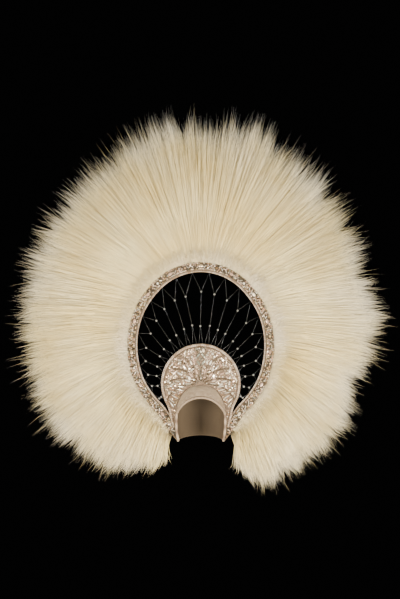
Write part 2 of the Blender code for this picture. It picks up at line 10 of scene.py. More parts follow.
import bpy
import numpy as np
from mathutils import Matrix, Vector

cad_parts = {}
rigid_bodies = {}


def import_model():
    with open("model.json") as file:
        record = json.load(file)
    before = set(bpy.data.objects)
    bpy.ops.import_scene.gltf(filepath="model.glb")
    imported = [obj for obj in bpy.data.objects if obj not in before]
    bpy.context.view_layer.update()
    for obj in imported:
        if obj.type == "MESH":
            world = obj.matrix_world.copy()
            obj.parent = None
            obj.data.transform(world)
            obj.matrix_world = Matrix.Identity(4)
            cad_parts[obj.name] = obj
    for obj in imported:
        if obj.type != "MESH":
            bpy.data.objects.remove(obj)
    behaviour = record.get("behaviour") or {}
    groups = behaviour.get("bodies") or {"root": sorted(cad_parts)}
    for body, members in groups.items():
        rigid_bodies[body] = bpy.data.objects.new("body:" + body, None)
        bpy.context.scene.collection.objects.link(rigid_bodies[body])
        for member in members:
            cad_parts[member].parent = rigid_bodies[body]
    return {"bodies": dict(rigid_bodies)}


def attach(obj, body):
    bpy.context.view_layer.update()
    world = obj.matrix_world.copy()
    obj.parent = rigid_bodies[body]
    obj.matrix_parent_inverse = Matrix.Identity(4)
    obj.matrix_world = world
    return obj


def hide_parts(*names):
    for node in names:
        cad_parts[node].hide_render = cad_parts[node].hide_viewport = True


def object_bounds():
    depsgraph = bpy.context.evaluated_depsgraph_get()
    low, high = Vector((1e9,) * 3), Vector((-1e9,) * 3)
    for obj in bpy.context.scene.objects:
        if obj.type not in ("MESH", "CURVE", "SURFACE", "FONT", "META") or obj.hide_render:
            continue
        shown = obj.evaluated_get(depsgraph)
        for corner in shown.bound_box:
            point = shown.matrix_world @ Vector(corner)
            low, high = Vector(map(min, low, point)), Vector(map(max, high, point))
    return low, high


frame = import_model()
solid_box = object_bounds()
BODY = next(iter(frame["bodies"]))

# Gap between pieces that touch
CLEARANCE = 0.0003

# Head form that the cap fits
HEAD_HALF = np.array((0.082, 0.097, 0.125))
HEAD_ROUNDNESS = 2.3
CAP_WALL = 0.0025
CAP_SIDE_DROP = 0.186
CAP_NAPE_DROP = 0.165
FACE_ARCH_RADIUS = 0.086
FACE_ARCH_DROP = 0.130
CAP_SIDE_REACH = 0.040
ROLL_DIAMETER = 0.008

# Plaque: a bent crescent board on the brow
BOARD_RADIUS = 0.119
BOARD_THICKNESS = 0.004
BOARD_FORWARD = 0.044
BOARD_BEND_RADIUS = 0.300
BOARD_CENTRE_DROP = 0.001
PLAQUE_PIVOT_DROP = 0.075
TAIL_WIDTH = 0.022
TAIL_START = math.radians(80.0)
TAIL_END = math.radians(128.0)
CORNER_SHARPNESS = 24.0
PLAQUE_PIPING_DIAMETER = 0.009
SETTING_THICKNESS = 0.0015

# Ring: its opening, piping and band. Columns: degrees from the top, share of the radius
RING_RADIUS = 0.205
RING_FOOT_DROP = 0.159
RING_FOOT_ANGLE = 170.0
RING_END = math.radians(175.0)
RING_SETBACK = 0.006
RING_PIPING_DIAMETER = 0.0055
BAND_WIDTH = 0.027
BAND_THICKNESS = 0.008
BAND_FIELD_WIDTH = 0.021
RING_OPENING = (
    (0.0, 1.013),
    (15.0, 1.005),
    (30.0, 0.990),
    (50.0, 0.966),
    (70.0, 0.971),
    (90.0, 0.995),
    (110.0, 1.049),
    (130.0, 1.137),
    (142.0, 1.190),
    (154.0, 1.268),
    (164.0, 1.424),
    (170.0, 1.551),
    (176.0, 1.640),
)

# Plumes: sixteen bundles. Tip columns: degrees from the top, share of the reach. Spread columns:
# degrees from the top at a feather's root, and at its tip
PLUMES = 16
PLUME_END = math.radians(165.0)
PLUME_REACH = 0.690
PLUME_THICKNESS = 0.100
FAN_SPREAD = (
    (0.0, 0.0),
    (15.0, 24.0),
    (30.0, 42.0),
    (45.0, 58.0),
    (60.0, 71.5),
    (75.0, 83.0),
    (90.0, 94.0),
    (105.0, 108.0),
    (120.0, 124.5),
    (135.0, 139.5),
    (150.0, 151.5),
    (165.0, 160.4),
)
TIPS_RIGHT_SIDE = (
    (0.0, 1.058),
    (15.0, 1.029),
    (30.0, 1.000),
    (45.0, 0.942),
    (60.0, 0.914),
    (75.0, 0.893),
    (90.0, 0.870),
    (110.0, 0.877),
    (130.0, 0.852),
    (145.0, 0.790),
    (157.0, 0.710),
)
TIPS_LEFT_SIDE = (
    (0.0, 1.058),
    (15.0, 1.036),
    (30.0, 1.000),
    (45.0, 0.942),
    (60.0, 0.887),
    (75.0, 0.870),
    (90.0, 0.874),
    (110.0, 0.794),
    (130.0, 0.826),
    (145.0, 0.814),
    (157.0, 0.775),
)
# Reach of a plume to the front and to the back. Columns: share of the way to the tip, share of
# the thickness
REACH_FRONT = ((0.0, 0.0), (0.15, 0.34), (0.40, 0.48), (0.70, 0.38), (1.0, -0.06))
REACH_BACK = ((0.0, 0.18), (0.15, 0.36), (0.40, 0.52), (0.70, 0.46), (1.0, 0.20))

# Hair of a plume: rows of tufts from front to back, each a lock of tapered strands
TUFT_ROWS = 5
TUFT_WIDTH = 0.022
POINTS_IN_TUFT = 4
STRANDS_IN_TUFT = 41
STRAND_STATIONS = np.array((0.0, 0.38, 0.72, 0.88))
STRAND_RADIUS = np.array((0.00055, 0.00080, 0.00068, 0.00036))
FOOT_GAP = 0.0008
CLOSING_FROM = 0.74
LONGEST = 1.10
DROOP = 0.010
LOOSE_SIDE = math.radians(16.0)
LOOSE_SHORT = 0.6

# Spread of the strands of a tuft at the band and at its points, in tuft widths
POINTS_AT_BAND = 0.75
POINTS_AT_TIP = 0.34
STRANDS_AT_BAND = 0.35
STRANDS_AT_TIP = 0.10

# Lengths by chance, as shares: of a place in the fan, a tuft, its points and wisps, and the most
# that a strand stops short
PLACE_LENGTHS = (0.95, 1.04)
TUFT_LENGTHS = (0.93, 1.02)
POINT_LENGTHS = (0.86, 1.0)
WISP_LENGTHS = (1.04, 1.16)
STOPS_SHORT = 0.33

# How much else differs by chance: leans and stray in tuft widths, lofts in metres, depth as a
# share of half the plume's thickness
SHARED_LEAN = 0.34
TUFT_LEAN = 0.38
STRAND_STRAY = 0.36
TUFT_LOFT = 0.009
STRAND_LOFT = 0.007
STRAND_DEPTH = 0.12
WISPS = 0.06
WISP_STRAY = 2.5
WISP_RADIUS = 0.6

# Down at the band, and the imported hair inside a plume
DOWN_FIBRES = 570
DOWN_SHORTEST = 0.010
DOWN_LONGEST = 0.070
DOWN_RADIUS = np.array((0.0007, 0.0006))
DOWN_LIFT = (0.05, 0.65)
DOWN_SPREAD = 0.35
DOWN_BEND = 0.25
CORE_END = 0.72
CORE_SHARE = 0.55
CORE_INSET = 0.14
CORE_GAP = 0.003

# Reach of the hair beside that of the solids. Columns: degrees from the top, to the right above 0,
# share
HAIR_REACH = (
    (-165.0, 1.07),
    (-150.0, 1.01),
    (-138.0, 1.00),
    (-112.0, 1.00),
    (-90.0, 1.03),
    (-74.0, 1.07),
    (-56.0, 1.09),
    (-46.0, 1.02),
    (-32.0, 1.04),
    (-24.0, 1.01),
    (-14.0, 1.12),
    (-8.0, 1.12),
    (0.0, 1.04),
    (8.0, 1.08),
    (16.0, 1.14),
    (25.0, 1.02),
    (38.0, 1.10),
    (48.0, 1.01),
    (57.0, 1.08),
    (70.0, 1.01),
    (80.0, 1.08),
    (96.0, 0.99),
    (110.0, 1.04),
    (128.0, 1.07),
    (144.0, 0.96),
    (153.0, 1.07),
    (165.0, 1.03),
)

# How far the bundles part at their tips, in widths of a tuft, from the first bundle's outer side on
PARTINGS = (0.0, 0.2, 0.6, 0.2, 0.4, 0.2, 0.8, 0.2, 0.6, 0.3, 0.2, 0.4, 0.2, 0.6, 0.4, 0.2, 0.0)

# Camera and floor
CAMERA_DISTANCE = 7.0
CAMERA_ELEVATION = math.radians(-4.5)
FRAME_WIDTH = 1.30
SENSOR = 36.0
IMAGE_WIDTH = 400
IMAGE_HEIGHT = 599
FLOOR_DROP = 1.70
FLOOR_RADIUS = 14.0


# Camera first

def aimed(thing, place, target):
    """Puts a camera or lamp at a place and turns it towards a target."""
    made = bpy.data.objects.new(thing.name, thing)
    bpy.context.scene.collection.objects.link(made)
    made.location = place
    made.rotation_euler = (Vector(target) - Vector(place)).to_track_quat("-Z", "Y").to_euler()
    return made


middle = (solid_box[0] + solid_box[1]) / 2
lens = bpy.data.cameras.new("camera")
lens.sensor_width = SENSOR
lens.lens = SENSOR * CAMERA_DISTANCE / (FRAME_WIDTH * IMAGE_HEIGHT / IMAGE_WIDTH)
away = Vector((0.0, -math.cos(CAMERA_ELEVATION), math.sin(CAMERA_ELEVATION))) * CAMERA_DISTANCE
bpy.context.scene.camera = aimed(lens, middle + away, middle)


# Colours and nodes

def colour(code):
    """sRGB hex to linear: each channel over 12.92 below 0.04045, else ((c + 0.055) / 1.055) ** 2.4."""
    channels = np.array([int(code[place : place + 2], 16) / 255 for place in (1, 3, 5)])
    linear = np.where(channels <= 0.04045, channels / 12.92, ((channels + 0.055) / 1.055) ** 2.4)
    return (*linear.tolist(), 1.0)


def connect(tree, node, inputs):
    """Gives inputs, by their names or numbers, a value or a link from a socket."""
    for name, value in inputs.items():
        if isinstance(value, bpy.types.NodeSocket):
            tree.links.new(value, node.inputs[name])
        else:
            node.inputs[name].default_value = value


def add(tree, kind, inputs, output=0, stops=(), **settings):
    """Adds a node with its inputs and settings, and gives one of its outputs. Stops are the places
    and hex colours of a colour ramp, in order."""
    made = tree.nodes.new("ShaderNode" + kind)
    for name, value in settings.items():
        setattr(made, name, value)
    connect(tree, made, inputs)
    for number, (place, code) in enumerate(stops):
        elements = made.color_ramp.elements
        element = elements[number] if number < 2 else elements.new(place)
        element.position, element.color = place, colour(code)
    return made.outputs[output]


def new_material(name):
    """A material with its tree and its empty shader."""
    material = bpy.data.materials.new(name)
    material.use_nodes = True
    return material, material.node_tree, material.node_tree.nodes["Principled BSDF"]


# Mesh building

def mesh_piece(name, corners, faces, material, smooth=True, **values):
    """A mesh from corner places and arrays of faces; values are numbers kept on each corner."""
    mesh = bpy.data.meshes.new(name)
    corners = np.asarray(corners, np.float32).reshape(-1, 3)
    loops = np.concatenate([block.ravel() for block in faces]).astype(np.int32)
    sizes = np.concatenate([np.full(len(block), block.shape[1]) for block in faces])
    starts = np.concatenate([[0], np.cumsum(sizes)[:-1]]).astype(np.int32)
    mesh.vertices.add(len(corners))
    mesh.vertices.foreach_set("co", corners.ravel())
    mesh.loops.add(len(loops))
    mesh.loops.foreach_set("vertex_index", loops)
    mesh.polygons.add(len(starts))
    mesh.polygons.foreach_set("loop_start", starts)
    mesh.polygons.foreach_set("use_smooth", np.full(len(starts), smooth))
    mesh.update(calc_edges=True)
    for label, numbers in values.items():
        numbers = np.asarray(numbers, np.float32)
        kind = "FLOAT" if numbers.ndim == 1 else "FLOAT_VECTOR"
        layer = mesh.attributes.new(label, kind, "POINT")
        layer.data.foreach_set("value" if kind == "FLOAT" else "vector", numbers.ravel())
    mesh.materials.append(material)
    piece = bpy.data.objects.new(name, mesh)
    bpy.context.scene.collection.objects.link(piece)
    return piece


def dressed(piece, slot, *nodes):
    """Ties a finished piece to the body and hides the solids that it stands for. slot, its finish, is not
    used.
    """
    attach(piece, BODY)
    if nodes:
        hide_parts(*nodes)
    return piece


def grid_faces(rows, columns, around=False):
    """Quads of a grid of corners, rows by columns; around joins its last column to its first."""
    last = columns if around else columns - 1
    row, column = np.meshgrid(np.arange(rows - 1) * columns, np.arange(last), indexing="ij")
    after = (column + 1) % columns
    quads = (row + column, row + after, row + columns + after, row + columns + column)
    return np.stack(quads, -1).reshape(-1, 4)


def copies(faces, size, count, first=0):
    """Faces of a shape with so many corners, repeated count times from a first corner on."""
    starts = first + size * np.arange(count)[:, None, None]
    return [(block[None] + starts).reshape(-1, block.shape[1]) for block in faces]


def swept(path, across, upwards, profile, sizes=1.0):
    """Corners of a tube: at each path point the profile's two numbers go along across and upwards."""
    sizes = np.broadcast_to(sizes, len(path))[:, None, None]
    return path[:, None] + sizes * (
        profile[None, :, :1] * across[:, None] + profile[None, :, 1:] * upwards[:, None]
    )


def tube_faces(stations, sides):
    """Faces of a tube whose two ends are closed with one face each."""
    last = (stations - 1) * sides
    ends = np.stack([np.arange(sides)[::-1], last + np.arange(sides)])
    return [grid_faces(stations, sides, around=True), ends]


def circle(sides, radius):
    """A round profile."""
    turn = np.arange(sides) * 2 * math.pi / sides
    return radius * np.stack([np.cos(turn), np.sin(turn)], -1)


def unit(vectors):
    """Vectors divided by their length."""
    return vectors / np.linalg.norm(vectors, axis=-1, keepdims=True)


def smooth_step(low, high, value):
    """0 below low, 1 above high, 3t^2 - 2t^3 between."""
    t = np.clip((value - low) / (high - low), 0.0, 1.0)
    return t * t * (3 - 2 * t)


def frames_along(path, upwards):
    """Two directions square to a path: one square to it and upwards, one square to both."""
    along = unit(np.gradient(path, axis=0))
    across = unit(np.cross(along, np.broadcast_to(upwards, path.shape)))
    return across, np.cross(across, along)


def way_along(path):
    """Distance along a path from its start to each of its points."""
    return np.concatenate([[0.0], np.cumsum(np.linalg.norm(np.diff(path, axis=0), axis=-1))])


# Shapes that the solids follow

def through(table, at):
    """A smooth curve through a table's rows: cubics that keep the rows' slopes."""
    places, values = np.array(table).T
    slopes = np.gradient(values, places)
    at = np.clip(at, places[0], places[-1])
    first = np.clip(np.searchsorted(places, at, side="right") - 1, 0, len(places) - 2)
    gap = places[first + 1] - places[first]
    t = (at - places[first]) / gap
    rise = values[first + 1] - values[first]
    start, end = slopes[first] * gap, slopes[first + 1] * gap
    return values[first] + t * start + t**2 * (3 * rise - 2 * start - end) + t**3 * (start + end - 2 * rise)


def level(points, grow):
    """Sum of |place / half size| ** roundness: 1 on the grown head form, less inside it."""
    centred = points + np.array((0.0, 0.0, HEAD_HALF[2]))
    return (np.abs(centred / (HEAD_HALF + grow)) ** HEAD_ROUNDNESS).sum(-1)


def form_point(azimuth, z, grow=0.0):
    """The head form's surface by azimuth from the front and height."""
    half_height = HEAD_HALF[2] + grow
    rise = np.clip(np.abs((z + HEAD_HALF[2]) / half_height), 0.0, 1.0)
    spread = (1.0 - rise**HEAD_ROUNDNESS) ** (1 / HEAD_ROUNDNESS)
    outwards = np.stack([np.sin(azimuth), -np.cos(azimuth), np.zeros_like(azimuth)], -1)
    across = (np.abs(outwards[..., :2] / (HEAD_HALF[:2] + grow)) ** HEAD_ROUNDNESS).sum(-1)
    point = outwards * (across ** (-1 / HEAD_ROUNDNESS) * spread)[..., None]
    point[..., 2] = z
    return point


def outwards_at(points):
    """The head form's outward direction: the slope of its level."""
    centred = points + np.array((0.0, 0.0, HEAD_HALF[2]))
    half = HEAD_HALF + CAP_WALL
    return unit(np.sign(centred) * np.abs(centred / half) ** (HEAD_ROUNDNESS - 1) / half)


def front_y(x, z):
    """Depth of the cap's outside at the front."""
    flat = np.stack([x, np.zeros_like(x), z], -1)
    left = np.clip(1.0 - level(flat, CAP_WALL), 0.0, 1.0)
    return -(HEAD_HALF[1] + CAP_WALL) * left ** (1 / HEAD_ROUNDNESS)


def side_x(y, z):
    """Half width of the cap's outside."""
    flat = np.stack([np.zeros_like(z), np.broadcast_to(y, z.shape), z], -1)
    left = np.clip(1.0 - level(flat, CAP_WALL), 0.0, 1.0)
    return (HEAD_HALF[0] + CAP_WALL) * left ** (1 / HEAD_ROUNDNESS)


def halved(inside, low, high):
    """The places between low and high where inside() turns false, all found by halving."""
    for _ in range(40):
        half = (low + high) / 2
        within = inside(half)
        low, high = np.where(within, half, low), np.where(within, high, half)
    return low


def arch_point(angle):
    """The face opening's arch on the cap's outside, by angle from its top."""
    x = FACE_ARCH_RADIUS * np.sin(angle)
    z = -FACE_ARCH_DROP + FACE_ARCH_RADIUS * np.cos(angle)
    return np.stack([x, front_y(x, z), z], -1)


def ahead_of_sides(angle):
    """Whether the arch at an angle is still ahead of the cap's straight side edges."""
    return arch_point(angle)[..., 1] < -CAP_SIDE_REACH


ARCH_END = float(halved(ahead_of_sides, np.zeros(1), np.full(1, math.pi / 2))[0])


# Lines of the ring and the plaque

RING_CENTRE_Z = -RING_FOOT_DROP - math.cos(math.radians(RING_FOOT_ANGLE)) * RING_RADIUS * float(
    through(RING_OPENING, RING_FOOT_ANGLE)
)
BAND_INNER = RING_PIPING_DIAMETER + CLEARANCE
BAND_OUTER = BAND_INNER + BAND_WIDTH


def board_y(x, depth):
    """Depth of the bent board at a distance from its middle, counted back from its front face."""
    return -BOARD_FORWARD + depth + x * x / (2 * BOARD_BEND_RADIUS)


def from_pivot(angle, radius):
    """A place on the plaque's drawing, by angle from upright and distance from its pivot."""
    z = -PLAQUE_PIVOT_DROP + radius * np.cos(angle)
    return np.stack([radius * np.sin(angle), np.zeros_like(angle), z], -1)


def cap_radius(angle, depth=BOARD_THICKNESS, grow=CAP_WALL):
    """Distance from the pivot at which a bent plate at a depth leaves the cap."""
    def inside(radius):
        point = from_pivot(angle, radius)
        point[..., 1] = board_y(point[..., 0], depth)
        return level(point, grow) < 1.0
    return halved(inside, np.zeros_like(angle), np.full_like(angle, 0.4))


PIPING_SEAT = PLAQUE_PIPING_DIAMETER / 2 + CLEARANCE


def rim_radius(angle):
    """Distance from the pivot to the piping's middle: a round disc, then tails along the cap."""
    offset = PLAQUE_PIVOT_DROP - BOARD_CENTRE_DROP
    across = (BOARD_RADIUS + PIPING_SEAT) ** 2 - (offset * np.sin(angle)) ** 2
    disc = offset * np.cos(angle) + np.sqrt(np.maximum(across, 0.0))
    share = np.clip((np.abs(angle) - TAIL_START) / (TAIL_END - TAIL_START), 0.0, 1.0)
    side = cap_radius(angle) + PIPING_SEAT + TAIL_WIDTH * (1 - share)
    return (disc**CORNER_SHARPNESS + side**CORNER_SHARPNESS) ** (1 / CORNER_SHARPNESS)


def rim_outline(angle, inwards=0.0):
    """The piping's middle line, or a line at a distance inwards, square to it."""
    step = math.radians(0.5)
    ahead = from_pivot(angle + step, rim_radius(angle + step))
    along = ahead - from_pivot(angle - step, rim_radius(angle - step))
    normal = unit(np.stack([along[..., 2], np.zeros_like(angle), -along[..., 0]], -1))
    return from_pivot(angle, rim_radius(angle)) + normal * np.asarray(inwards)[..., None]


TAIL_TIP_X = float(rim_outline(np.array([TAIL_END]))[0, 0])
BAND_FRONT_Y = board_y(TAIL_TIP_X, BOARD_THICKNESS / 2) + PLAQUE_PIPING_DIAMETER / 2 + RING_SETBACK
BAND_BACK_Y = BAND_FRONT_Y + BAND_THICKNESS


def around(angle, radius):
    """A point at an angle from the top and a distance from the ring's centre."""
    z = RING_CENTRE_Z + radius * np.cos(angle)
    return np.stack([radius * np.sin(angle), np.zeros_like(angle), z], -1)


def opening_point(angle):
    """A point of the ring's opening."""
    return around(angle, RING_RADIUS * through(RING_OPENING, np.degrees(np.abs(angle))))


def ring_point(angle, outwards, y=0.0):
    """A point at a distance outwards from the ring's opening, square to its edge."""
    step = math.radians(0.5)
    along = opening_point(angle + step) - opening_point(angle - step)
    normal = unit(np.stack([-along[..., 2], np.zeros_like(angle), along[..., 0]], -1))
    point = opening_point(angle) + normal * np.asarray(outwards)[..., None]
    point[..., 1] = y
    return point


# Feathers

SECTOR = 2 * PLUME_END / PLUMES


def tip_radius(angle):
    """Distance of the feathers' tips from the ring's centre."""
    degrees = np.degrees(np.abs(angle))
    left, right = through(TIPS_LEFT_SIDE, degrees), through(TIPS_RIGHT_SIDE, degrees)
    return PLUME_REACH * np.where(angle > 0, left, right)


def tip_of(angle):
    """Angle of a feather's tip from the angle of its root: the fan opens as its table says."""
    return np.sign(angle) * np.radians(through(FAN_SPREAD, np.degrees(np.abs(angle))))


def plume_place(angle, share, length, depth):
    """A place in the fan: share of the way from the band to the tip, depth -1 at the front to 1."""
    foot = ring_point(angle, BAND_OUTER + FOOT_GAP)
    tip_angle = tip_of(angle)
    tip = around(tip_angle, tip_radius(tip_angle))
    point = foot + (tip - foot) * (share * length)[..., None]
    front, back = through(REACH_FRONT, share), through(REACH_BACK, share)
    thickness = (back - front) / 2 + (back + front) / 2 * depth
    point[..., 1] = BAND_BACK_Y + CLEARANCE + PLUME_THICKNESS * thickness
    return point


def tufts(random, number):
    """A plume's tufts, row by row from the front, and the width of one as an angle at the band.

    All rows share the tufts' places and lengths, so the edge has gaps. Near a border of the bundle
    they lean away from it by the fifth power of their place, -1 to 1 from side to side.
    """
    start = -PLUME_END + SECTOR * number
    ends = tip_of(np.array((start, start + SECTOR)))
    in_row = max(round(float((ends[1] - ends[0]) * tip_radius(ends.mean()) / TUFT_WIDTH)), 3)
    width = SECTOR / in_row
    shared_lean = random.normal(0.0, SHARED_LEAN, in_row)
    shared_tip = np.degrees(tip_of(start + width * (np.arange(in_row) + 0.5)))
    shared_length = random.uniform(*PLACE_LENGTHS, in_row) * through(HAIR_REACH, shared_tip)
    row = np.repeat(np.arange(TUFT_ROWS), in_row)
    place = np.tile(np.arange(in_row), TUFT_ROWS)
    side = 2 * (place + 0.5) / in_row - 1
    parting = PARTINGS[number] * np.clip(-side, 0, 1) ** 5
    parting = parting - PARTINGS[number + 1] * np.clip(side, 0, 1) ** 5
    made = {
        "side": side,
        "angle": start + width * (place + 0.5),
        "lean": (shared_lean[place] + parting + random.normal(0.0, TUFT_LEAN, row.size)) * width,
        "depth": 2 * row / (TUFT_ROWS - 1) - 1,
        "length": shared_length[place] * random.uniform(*TUFT_LENGTHS, row.size),
        "tone": random.normal(0.0, 1.0, row.size),
        "loft": random.normal(0.0, TUFT_LOFT, row.size),
    }
    return made, width


def strands(random, number):
    """Corners of a plume's strands, with their shares of the way and tones.

    A strand starts in its own place at the band and runs straight, then closes in on one of the
    tuft's few points over the last part of the way, by a smooth step of the share of the way. Each
    stops short by chance, which makes the points thin and soft. Stray, loft and droop grow with the
    second and third power of the share. At the fan's two free sides strands bend off and end early.
    """
    tuft, width = tufts(random, number)
    rows = len(tuft["side"])
    tuft = {name: np.repeat(values, STRANDS_IN_TUFT) for name, values in tuft.items()}
    count = rows * STRANDS_IN_TUFT
    point = random.integers(0, POINTS_IN_TUFT, count)
    point_place = 2 * point / (POINTS_IN_TUFT - 1) - 1
    own_place = random.uniform(-STRANDS_AT_BAND, STRANDS_AT_BAND, count)
    point_length = random.uniform(*POINT_LENGTHS, (rows, POINTS_IN_TUFT))
    length = point_length[np.arange(count) // STRANDS_IN_TUFT, point]
    length *= 1 - STOPS_SHORT * random.uniform(0, 1, count) ** 1.3
    wisp = random.uniform(0, 1, count) < WISPS
    length = np.where(wisp, length * random.uniform(*WISP_LENGTHS, count), length)
    depth = np.clip(tuft["depth"] * 0.9 + random.normal(0.0, STRAND_DEPTH, count), -1.0, 1.0)
    share = np.append(STRAND_STATIONS, 1.0)[None, :]
    closed = smooth_step(CLOSING_FROM, 1.0, share * length[:, None])
    length = np.minimum(tuft["length"] * length, LONGEST)
    stray = random.normal(0.0, STRAND_STRAY, count) * np.where(wisp, WISP_STRAY, 1.0) * width
    at_band = POINTS_AT_BAND * point_place + own_place
    at_tip = POINTS_AT_TIP * point_place + STRANDS_AT_TIP * own_place
    aside = at_band[:, None] * (1 - closed) + at_tip[:, None] * closed
    angle = tuft["angle"][:, None] + width * aside
    angle += stray[:, None] * share**2 + tuft["lean"][:, None] * closed
    if number in (0, PLUMES - 1):
        outer = math.copysign(1.0, tuft["angle"][0])
        loose = np.clip(outer * tuft["side"], 0, 1) ** 2 * random.uniform(0, 1, count) ** 1.4
        length *= 1 - LOOSE_SHORT * loose
        angle += outer * LOOSE_SIDE * loose[:, None] * share**2
    path = plume_place(angle, np.broadcast_to(share, angle.shape), length[:, None], depth[:, None])
    loft = tuft["loft"] + random.normal(0.0, STRAND_LOFT, count) * np.where(wisp, WISP_STRAY, 1.0)
    path[..., 1] += loft[:, None] * share**2
    path[..., 2] -= DROOP * np.abs(np.sin(angle)) * share**3
    sideways = np.stack([np.cos(angle), np.zeros_like(angle), -np.sin(angle)], -1)
    radius = STRAND_RADIUS * np.where(wisp, WISP_RADIUS, 1.0)[:, None]
    corners = strand_corners(random, path, sideways[:, :-1], radius)
    along = np.append(np.repeat(STRAND_STATIONS, 3), 1.0)
    tone = tuft["tone"] * 0.5 + random.normal(0.0, 0.5, count)
    return corners, np.tile(along, count), np.repeat(tone, len(along))


def strand_corners(random, path, sideways, radius):
    """Corners of three-sided strands: a ring at each place of their paths but the last, the tip."""
    turn = random.uniform(0, 2 * math.pi, len(path))[:, None] + np.arange(3) * 2 * math.pi / 3
    flat = np.cos(turn)[:, None, :, None] * sideways[:, :, None]
    offset = flat + np.sin(turn)[:, None, :, None] * np.array((0.0, 1.0, 0.0))
    ring = path[:, :-1, None] + radius[..., None, None] * offset
    return np.concatenate([ring.reshape(len(path), -1, 3), path[:, -1:]], 1)


def strand_faces(corners, first=0):
    """Faces of three-sided strands: quads along them, a triangle on the root, three at the tip."""
    count, size = corners.shape[:2]
    tip, last = size - 1, size - 4
    ends = np.array([[2, 1, 0], [last, last + 1, tip], [last + 1, last + 2, tip], [last + 2, last, tip]])
    return copies([grid_faces(tip // 3, 3, around=True), ends], size, count, first)


def down(random, start):
    """Short soft fibres that stand out from the band's outer edge, bent with the second power of
    the share of their way."""
    count = DOWN_FIBRES
    angle = start + SECTOR * random.uniform(0, 1, count)
    root = ring_point(angle, BAND_OUTER - random.uniform(-0.008, 0.005, count))
    root[:, 1] = BAND_FRONT_Y + random.uniform(-0.0012, 0.008, count)
    length = DOWN_SHORTEST + (DOWN_LONGEST - DOWN_SHORTEST) * random.uniform(0, 1, count) ** 1.8
    outwards = unit(ring_point(angle, BAND_OUTER + 0.01) - ring_point(angle, BAND_OUTER))
    sideways = np.stack([outwards[:, 2], np.zeros(count), -outwards[:, 0]], -1)
    lift = np.array((0.0, -1.0, 0.0)) * random.uniform(*DOWN_LIFT, count)[:, None]
    heading = unit(outwards + sideways * random.normal(0.0, DOWN_SPREAD, count)[:, None] + lift)
    share = np.array((0.0, 0.45, 1.0))[None, :, None]
    bend = sideways * random.normal(0.0, DOWN_BEND, count)[:, None]
    path = root[:, None] + length[:, None, None] * (heading[:, None] * share + bend[:, None] * share**2)
    corners = strand_corners(random, path, sideways[:, None], DOWN_RADIUS[None])
    size = corners.shape[1]
    return corners, np.full(size * count, -0.2), np.repeat(random.normal(0.0, 0.6, count), size)


def core(number):
    """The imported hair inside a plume: a lens whose sections are rounded rectangles. It keeps back
    from the free side of the first and the last bundle."""
    rows, columns = 14, 24
    share = np.linspace(0.0, CORE_END, rows)[:, None]
    turn = np.arange(columns)[None, :] * 2 * math.pi / columns
    aside = np.sign(np.cos(turn)) * np.abs(np.cos(turn)) ** 0.5
    depth = -np.sign(np.sin(turn)) * np.abs(np.sin(turn)) ** 0.5
    shrink = CORE_SHARE * np.sqrt(np.clip(1.0 - (share / (CORE_END + 0.01)) ** 4, 0.0, 1.0))
    low = CORE_INSET if number == 0 else CORE_GAP
    high = 1 - (CORE_INSET if number == PLUMES - 1 else CORE_GAP)
    middle_angle = -PLUME_END + SECTOR * (number + (low + high) / 2)
    angle = middle_angle + SECTOR * (high - low) / 2 * aside + 0 * share
    corners = plume_place(angle, share + 0 * aside, np.ones_like(angle), depth * shrink)
    return corners.reshape(-1, 3), np.repeat(share[:, 0], columns), tube_faces(rows, columns)


def plume(number, material):
    """One bundle: strands, down and packed core as one mesh."""
    random = np.random.default_rng(4100 + number)
    hair, hair_along, hair_tone = strands(random, number)
    fluff, fluff_along, fluff_tone = down(random, -PLUME_END + SECTOR * number)
    body, body_along, body_faces = core(number)
    corners = [hair.reshape(-1, 3), fluff.reshape(-1, 3), body]
    faces = strand_faces(hair) + strand_faces(fluff, len(corners[0]))
    faces += copies(body_faces, len(body), 1, len(corners[0]) + len(corners[1]))
    name = f"plume_{number + 1:02d}"
    # Painted shade: the core's tone of -1.5 makes it 7.5 % darker than the average strand, as hair packed
    # deep in a plume lies in shade.
    piece = mesh_piece(
        name + "_hair", np.concatenate(corners), faces, material,
        along=np.concatenate([hair_along, fluff_along, body_along]),
        tone=np.concatenate([hair_tone, fluff_tone, np.full(len(body), -1.5)]),
    )
    dressed(piece, "feathers", name)


# Plaque drawing

FOCUS_Z = -PLAQUE_PIVOT_DROP + float(cap_radius(np.zeros(1))[0])

# Petals of the sunburst, which bend outwards. Columns: degrees from upright to the petal's middle
# at the focus, half its width in degrees, and the tints mixed in it
PETALS = (
    (0.0, 3.5, ("smoke", "smoke", "bronze", "clear")),
    (8.75, 5.25, ("rose", "clear", "pearl", "rose")),
    (28.0, 14.0, ("rose", "pearl", "clear", "rose", "bronze")),
    (54.0, 12.0, ("pearl", "rose", "clear", "gold")),
    (78.0, 12.0, ("peach", "pearl", "clear", "smoke")),
    (101.0, 11.0, ("peach", "clear", "rose", "gold")),
)
FURROWS = (14.0, 42.0, 66.0, 90.0)
PETAL_CURL = 25.0
PETAL_RELIEF = 0.0013
PETAL_START = 0.020

# Small stones: arcs on a petal, distance kept to the edges, beads along the furrows, and rows on the
# tails with the angle from stone to stone
PETAL_ARCS = 25
SMALL_MARGIN = 0.0028
FURROW_WIDTH = 0.0044
BEAD_PITCH = 0.0029
TAIL_ROWS = 0.0052
TAIL_PITCH = 0.0054 / 0.105

# Main stones in rows about the focus. Columns: share of the board's radius, degrees to the first
# and the last, stones on each side, kind
PLAQUE_FAN = (
    (0.890, 0.0, 105.0, 6, "round"),
    (0.640, 24.0, 82.0, 4, "baguette"),
    (0.370, 18.0, 74.0, 3, "baguette"),
)
PLAQUE_STREWN = 120

# Lozenge of four stones: share of the board's radius, half its width and height, their slant
LOZENGE = (0.690, 0.0080, 0.0115, math.radians(34.0))

